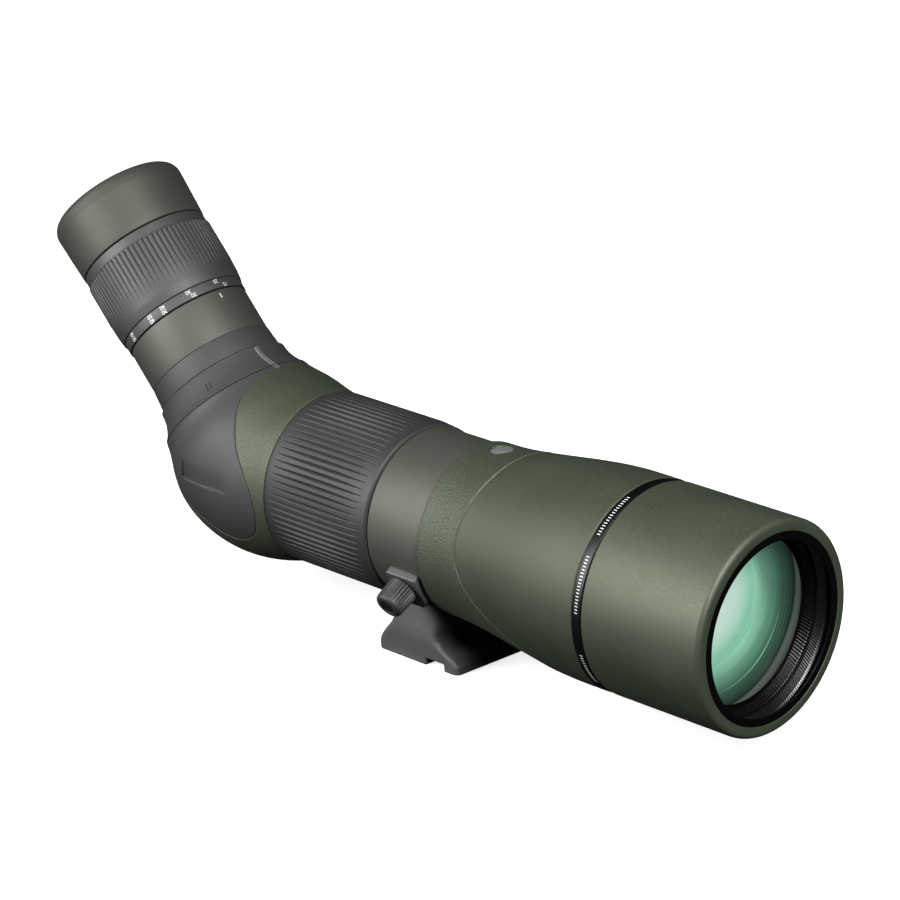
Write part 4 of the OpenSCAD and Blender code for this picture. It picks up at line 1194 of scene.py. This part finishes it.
def housing_skin():
    """A grid over the housing between its front face and its neck: points, fields and faces."""
    columns, rows, probe = 460, 150, 1e-4
    ends = np.array([0, 0.06, 0.14, 0.26, 0.42])
    tilt = np.radians(np.concatenate(
        [ends, np.linspace(0.75, NECK_TILT - 0.75, rows), NECK_TILT - ends[::-1]]))
    tilts, angles = np.meshgrid(tilt, np.arange(columns) * FULL_TURN / columns, indexing="ij")
    skin = housing_at(tilts, angles)
    along = housing_at(tilts + probe, angles) - housing_at(tilts - probe, angles)
    around = housing_at(tilts, angles + probe) - housing_at(tilts, angles - probe)
    normal = np.cross(along, around)
    middle = (housing_at(tilts, angles * 0) + housing_at(tilts, angles * 0 + math.pi)) / 2
    normal *= np.sign((normal * (skin - middle)).sum(-1, keepdims=True))
    normal_x, normal_s, normal_h = unit(normal).reshape(-1, 3).T
    x, s, h = skin.reshape(-1, 3).T
    ends_distance = np.minimum(HOUSING_FRONT - s, HOUSING_NECK - (h - s) * math.sqrt(0.5))
    fields = np.column_stack([cover_distance(s, h), s - PLATE_LEFT, h - PLATE_LOW, ends_distance,
                              normal_x, normal_h, normal_s])
    faces = [f[::-1] for f in grid_faces(len(tilt), columns)]
    return np.column_stack([x, h, s]), fields, faces


def neck_radius(t):
    """Radius of the neck's upper side at a station on the eyepiece axis."""
    count = 40
    _, s, h = housing_at(np.radians(np.linspace(36, NECK_TILT, count)), np.zeros(count)).T
    return np.interp(t, (h - s) * math.sqrt(0.5), (h + s) * math.sqrt(0.5))


# Section of the raised index bar, with a groove along it: (across, out).
BAR_PROFILE = ((-1.15, -0.4), (-1.15, 0.0), (-0.7, 0.5), (-0.45, 0.55), (-0.12, 0.1), (0.35, 0.55),
               (0.6, 0.52), (1.15, 0.0), (1.15, -0.4))


class SCOPE_OT_housing(bpy.types.Operator):
    """Green housing armour, the charcoal prism cover with its bare plate, and the neck's nub"""

    bl_idname = "scope.housing"
    bl_label = "Prism housing"

    def execute(self, context):
        gap, soft, left_rim, low_rim = 0.07, 0.4, 0.15, 0.45
        plate_depth, plate_front, front_fade, plate_top, top_fade = 0.65, 16.5, 6, 6.5, 8.5
        notch_depth, notch_width, notch_fade, notch_top = 0.45, 3.5, 3.3, 4.8
        skin = housing_skin()
        edges = [gap, gap + 0.06, gap + 0.22, gap + soft]
        for level in [-v for v in edges[::-1]] + edges:
            skin = split(skin, BORDER, level)
        for field, level in ((LEFT, 0.0), (LEFT, left_rim), (LOW, 0.0), (LOW, low_rim)):
            skin = split(skin, field, level)
        for name, level, above, slot, shade, node in (
            ("housing_rubber", gap, True, "green_rubber", "armour_green", "housing_armour"),
            ("prism_cover_skin", -gap, False, "charcoal_rubber", "cover_satin", "prism_cover"),
        ):
            points, f, faces = keep(skin, BORDER, level, above)
            normals = unit(f[:, HOUSING_NORMAL])
            sink = eased_edge(np.abs(f[:, BORDER]) - gap, soft)
            sink += eased_edge(np.maximum(f[:, ENDS], 0), 0.4)
            if node == "prism_cover":
                x, h, s = points.T
                within = step(f[:, LEFT] / left_rim) * step(f[:, LOW] / low_rim) * (x < 0)
                plate = step((plate_front - s) / front_fade) * step((plate_top - h) / top_fade)
                notch = step((notch_width - f[:, LEFT]) / notch_fade) * step(notch_top - h)
                sink += within * (plate_depth * plate + notch_depth * notch)
            points = points - normals * sink[:, None]
            settle(skin_wall(name, points, normals, faces, 1.2, finish(shade), 40),
                   "scope_body", slot, node)
        line = [(0, t) for t in np.linspace(23.3, 20.7, 14)]
        swell = [1.0] * 7 + [math.sqrt(1 - (k / 7.2) ** 2) for k in range(1, 8)]
        piece = ribbon("neck_nub", line, BAR_PROFILE, neck_radius, 2.4, finish("charcoal_metal"), swell)
        settle(piece, "scope_body", "charcoal_rubber")
        return {"FINISHED"}


LOCK_LOW, LOCK_TOP, LOCK_SLIM, LOCK_FLARE = 23.6, 35.0, 27.6, 4.1


def lock_radius(t):
    """Radius of the flared lock ring at a station."""
    return LOCK_SLIM + LOCK_FLARE * ((LOCK_TOP - np.asarray(t, float)) / (LOCK_TOP - LOCK_LOW)) ** 2


class SCOPE_OT_eyepiece(bpy.types.Operator):
    """Lock ring with its index bar, base ring and the olive eyepiece barrel"""

    bl_idname = "scope.eyepiece"
    bl_label = "Eyepiece base"

    def execute(self, context):
        socket, rim, bore, sleeve = 24.05, 31.55, 20.6, 25.6
        lock = [(socket, LOCK_TOP), (socket, LOCK_LOW), (rim, LOCK_LOW, 0.15), (rim, 24.1, 0.1)]
        lock += [(lock_radius(t), t) for t in np.linspace(24.3, LOCK_TOP, 25)[:-1]]
        lock += [(LOCK_SLIM, LOCK_TOP, 0.3)]
        settle(turned("lock_ring_flare", lock, EYE, finish("lock_satin")),
               "eyepiece_lock", "charcoal_metal", "lock_ring")
        line = [(0, t) for t in np.linspace(34.4, 23.9, 40)]
        swell = [0.5, 0.8, 0.95] + [1.0] * 37
        # The index bar's lighter charcoal is painted light on its highlights.
        settle(ribbon("index_bar", line, BAR_PROFILE, lock_radius, 2, finish("satin_painted_lit"), swell),
               "eyepiece_lock", "charcoal_metal", "lock_index_bar")
        for i, aside in enumerate((-0.8, 0.8)):
            line = [(aside, t) for t in np.linspace(26.6, 29.8, 10)]
            settle(stroke(f"open_mark_{i}", line, 0.45, lock_radius, 53, finish("dark_mark")),
                   "eyepiece_lock", "charcoal_metal")
        base = [(bore, 35.4), (26.5, 35.4, 0.3), (25.75, 44.2, 0.25), (bore, 44.2)]
        settle(turned("base_ring", base, EYE, finish("cover_satin")),
               "scope_body", "charcoal_metal", "eyepiece_base_ring")
        spigot = [(bore, 13), (22.45, 13, 0.4), (22.45, 35.5), (bore, 35.5)]
        settle(turned("base_spigot", spigot, EYE, finish("black_metal"), 128),
               "scope_body", "charcoal_metal")
        barrel = [(bore, 44.25), (sleeve, 44.25, 0.4), (sleeve, 62.5, 0.4), (bore, 62.5)]
        settle(turned("eyepiece_sleeve", barrel, EYE, finish("olive_metal")),
               "scope_body", "olive_metal", "eyepiece_barrel")
        line = [(0, t) for t in np.linspace(58.9, 60.9, 6)]
        settle(stroke("zoom_index", line, 0.55, lambda t: t * 0 + sleeve, 2, finish("white_mark")),
               "scope_body", "olive_metal")
        return {"FINISHED"}


class SCOPE_OT_zoom_ring(bpy.types.Operator):
    """Fluted zoom ring, its upper band and the numbered scale ring"""

    bl_idname = "scope.zoom_ring"
    bl_label = "Zoom ring"

    def execute(self, context):
        settings = looks(context)
        bore, grip, band_radius, scale_radius = 22.65, 27.3, 26.75, 26.0
        grip_low, grip_top, level_from = 67.2, 93.6, 91.5
        outline = [(bore, grip_low), (26.5, grip_low, 0.4), (27.0, 71, 3), (grip, 78, 4),
                   (grip, grip_top, 0.05), (bore, grip_top)]
        piece = fluted(
            "zoom_grip_rubber", outline, EYE, finish("charcoal_rubber"), settings.zoom_flutes, 16,
            (70, grip_top, 40), depth=settings.zoom_depth / MM, middle=level_from, half_length=18.8,
            level_from=level_from, slope=1.25, soften=0.08, wall_limit=25.5)
        settle(piece, "zoom_ring", "charcoal_rubber", "zoom_grip")
        band = [(bore, 93.65), (27.28, 93.65, 0.05), (27.28, 93.95, 0.25), (band_radius, 94.35, 0.15),
                (band_radius, 98.1, 0.35), (bore, 98.1)]
        settle(turned("zoom_band", band, EYE, finish("charcoal_rubber")),
               "zoom_ring", "charcoal_rubber")
        scale = [(bore, 63.0), (scale_radius, 63.0, 0.25), (scale_radius, 67.15, 0.2), (bore, 67.15)]
        settle(turned("scale_band", scale, EYE, finish("charcoal_metal")),
               "zoom_ring", "charcoal_metal", "zoom_scale_ring")
        upper, lower, size = 66.0, 64.05, 2.35
        for i, (text, station, angle) in enumerate((
            ("20", upper, 0.0), ("15", lower, -8.6), ("30", upper, 28.5), ("20", lower, 25.2),
            ("40", upper, 54.3), ("30", lower, 54.5), ("50", upper, 68.5), ("40", lower, 68.5),
            ("60", upper, 97.0), ("50", lower, 97.0),
        )):
            settle(number(f"scale_number_{i}", text, size, scale_radius, station, angle),
                   "zoom_ring", "charcoal_metal")
        return {"FINISHED"}


class SCOPE_OT_eyecup(bpy.types.Operator):
    """Rubber eyecup with a rounded top"""

    bl_idname = "scope.eyecup"
    bl_label = "Eyecup"

    def execute(self, context):
        bore, low, seam, outer, top, mouth = 23.65, 98.6, 116.9, 27.72, 123.4, 19.6
        cup = [(bore, low), (26.95, low, 0.4), (27.2, 103), (outer, seam), (bore, seam)]
        settle(turned("eyecup_rubber", cup, EYE, finish("olive_rubber")),
               "eyecup", "olive_rubber", "eyecup")
        lip = [(21.8, seam), (outer, seam), (27.85, top, 4.6), (21.0, top, 1.4), (mouth, 121.8, 1.2),
               (mouth, 117.5)]
        settle(turned("eyecup_lip", lip, EYE, finish("olive_lip")), "eyecup", "olive_rubber")
        return {"FINISHED"}


class SCOPE_OT_inner_pieces(bpy.types.Operator):
    """Finishes on the pieces inside, which keep their CAD shapes"""

    bl_idname = "scope.inner_pieces"
    bl_label = "Inner pieces"

    def execute(self, context):
        slots = {p["node"]: p["material_slot"] for p in frame["record"]["subparts"]}
        for name, piece in frame["nodes"].items():
            if piece.hide_render:
                continue
            piece.data.materials.clear()
            slot = slots[name]
            piece.data.materials.append(inner_glass() if slot == "lens_glass" else finish(slot))
        return {"FINISHED"}


# --- studio ---

WORLD_LOW = 0.007
FLOOR_HALF, FLOOR_SEEN, FLOOR_BOUNCE = 1.6, 0.8, 0.015
GLOW_FADE = {"From Min": 0.3, "From Max": 0.9, "To Min": 0.8, "To Max": 1.0}
LIT_POINT = (0.0, 0.02, 0.06)
KEY_AT, KEY_SIZE = (-0.97, 0.55, 0.52), (0.5, 0.7)
FILL_AT, FILL_SIZE = (-0.39, -0.93, 0.86), (0.5, 0.5)
CAMERA_AT = (-1.00893, -0.99036, 0.58248)
CAMERA_TURN, CAMERA_DIP = math.radians(-45.598), math.radians(19.618)
CAMERA_LENS = 161.15


def aimed(name, data, at, ahead):
    """An object with a light or camera in it, looking along a direction."""
    made = bpy.data.objects.new(name, data)
    made.location = at
    made.rotation_mode = "QUATERNION"
    made.rotation_quaternion = Vector(ahead).to_track_quat("-Z", "Y")
    bpy.context.scene.collection.objects.link(made)
    return made


def area_light(name, at, size, power):
    """A rectangular soft light aimed at the scope."""
    lamp = bpy.data.lights.new(name, "AREA")
    lamp.shape = "RECTANGLE"
    lamp.size, lamp.size_y = size
    lamp.energy = power
    return aimed(name, lamp, at, Vector(LIT_POINT) - Vector(at))


def studio_world():
    """White where the camera sees it, and a faint light on the scope."""
    world = bpy.data.worlds.new("studio")
    world.use_nodes = True
    tree = world.node_tree
    seen = tree.nodes.new("ShaderNodeLightPath").outputs["Is Camera Ray"]
    strength = math_node(tree, "ADD", WORLD_LOW, math_node(tree, "MULTIPLY", seen, 1.0 - WORLD_LOW))
    feed(tree, tree.nodes["Background"], {"Strength": strength, "Color": (1, 1, 1, 1)})
    return world


def floor_white():
    """White to the camera, with the scope's shadow and a slow fade, and dark to other rays."""
    made, tree, shader = new_material("floor_white")
    tree.nodes.remove(shader)

    def matte(level):
        color = (level, level, level, 1)
        return add_node(tree, "ShaderNodeBsdfDiffuse", Color=color).outputs[0]

    spot = tree.nodes.new("ShaderNodeTexCoord").outputs["Object"]
    far = add_node(tree, "ShaderNodeVectorMath", spot, operation="LENGTH").outputs["Value"]
    fade = add_node(
        tree, "ShaderNodeMapRange", interpolation_type="SMOOTHSTEP", Value=far, **GLOW_FADE)
    glow = add_node(tree, "ShaderNodeEmission", Strength=fade.outputs["Result"]).outputs[0]
    bright = add_node(tree, "ShaderNodeAddShader", matte(FLOOR_SEEN), glow).outputs[0]
    seen = tree.nodes.new("ShaderNodeLightPath").outputs["Is Camera Ray"]
    mix = add_node(tree, "ShaderNodeMixShader", seen, matte(FLOOR_BOUNCE), bright)
    feed(tree, tree.nodes["Material Output"], {"Surface": mix.outputs[0]})
    return made


class SCOPE_OT_stage(bpy.types.Operator):
    """White floor and background, two soft lights and the camera"""

    bl_idname = "scope.stage"
    bl_label = "Studio"

    def execute(self, context):
        settings, scene = looks(context), context.scene
        scene.view_settings.view_transform = "Standard"
        scene.world = studio_world()
        half = FLOOR_HALF
        corners = [(-half, -half, 0), (half, -half, 0), (half, half, 0), (-half, half, 0)]
        mesh = bpy.data.meshes.new("floor")
        mesh.from_pydata(corners, [], [(0, 1, 2, 3)])
        mesh.materials.append(floor_white())
        floor = bpy.data.objects.new("floor", mesh)
        scene.collection.objects.link(floor)
        key = area_light("key", KEY_AT, KEY_SIZE, settings.key_power)
        fill = area_light("fill", FILL_AT, FILL_SIZE, settings.fill_power)

        lens = bpy.data.cameras.new("camera")
        lens.lens, lens.sensor_width = CAMERA_LENS, 36.0
        lens.clip_start, lens.clip_end = 0.05, 50.0
        level = math.cos(CAMERA_DIP)
        ahead = (-math.sin(CAMERA_TURN) * level, math.cos(CAMERA_TURN) * level, -math.sin(CAMERA_DIP))
        scene.camera = aimed("camera", lens, CAMERA_AT, ahead)
        return {"FINISHED"}


class SCOPE_PT_looks(bpy.types.Panel):
    """The scope's settings and builders"""

    bl_label = "Spotting scope"
    bl_idname = "SCOPE_PT_looks"
    bl_space_type = "VIEW_3D"
    bl_region_type = "UI"
    bl_category = "Scope"

    def draw(self, context):
        settings = looks(context)
        for name in settings.__annotations__:
            self.layout.prop(settings, name)
        for builder in BUILDERS:
            self.layout.operator(builder.bl_idname)


BUILDERS = (
    SCOPE_OT_sunshade, SCOPE_OT_objective, SCOPE_OT_collar, SCOPE_OT_focus_ring, SCOPE_OT_housing,
    SCOPE_OT_eyepiece, SCOPE_OT_zoom_ring, SCOPE_OT_eyecup, SCOPE_OT_inner_pieces, SCOPE_OT_stage,
)
CLASSES = (ScopeLooks, *BUILDERS, SCOPE_PT_looks)


def register():
    """Registers the settings, the builders and the panel."""
    for made in CLASSES:
        bpy.utils.register_class(made)
    bpy.types.Scene.scope_looks = bpy.props.PointerProperty(type=ScopeLooks)


def unregister():
    """Takes the settings, the builders and the panel away again."""
    del bpy.types.Scene.scope_looks
    for made in reversed(CLASSES):
        bpy.utils.unregister_class(made)


def main():
    """Builds everything in order."""
    register()
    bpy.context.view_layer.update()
    for builder in BUILDERS:
        area, name = builder.bl_idname.split(".")
        getattr(getattr(bpy.ops, area), name)()


if __name__ == "__main__":
    main()
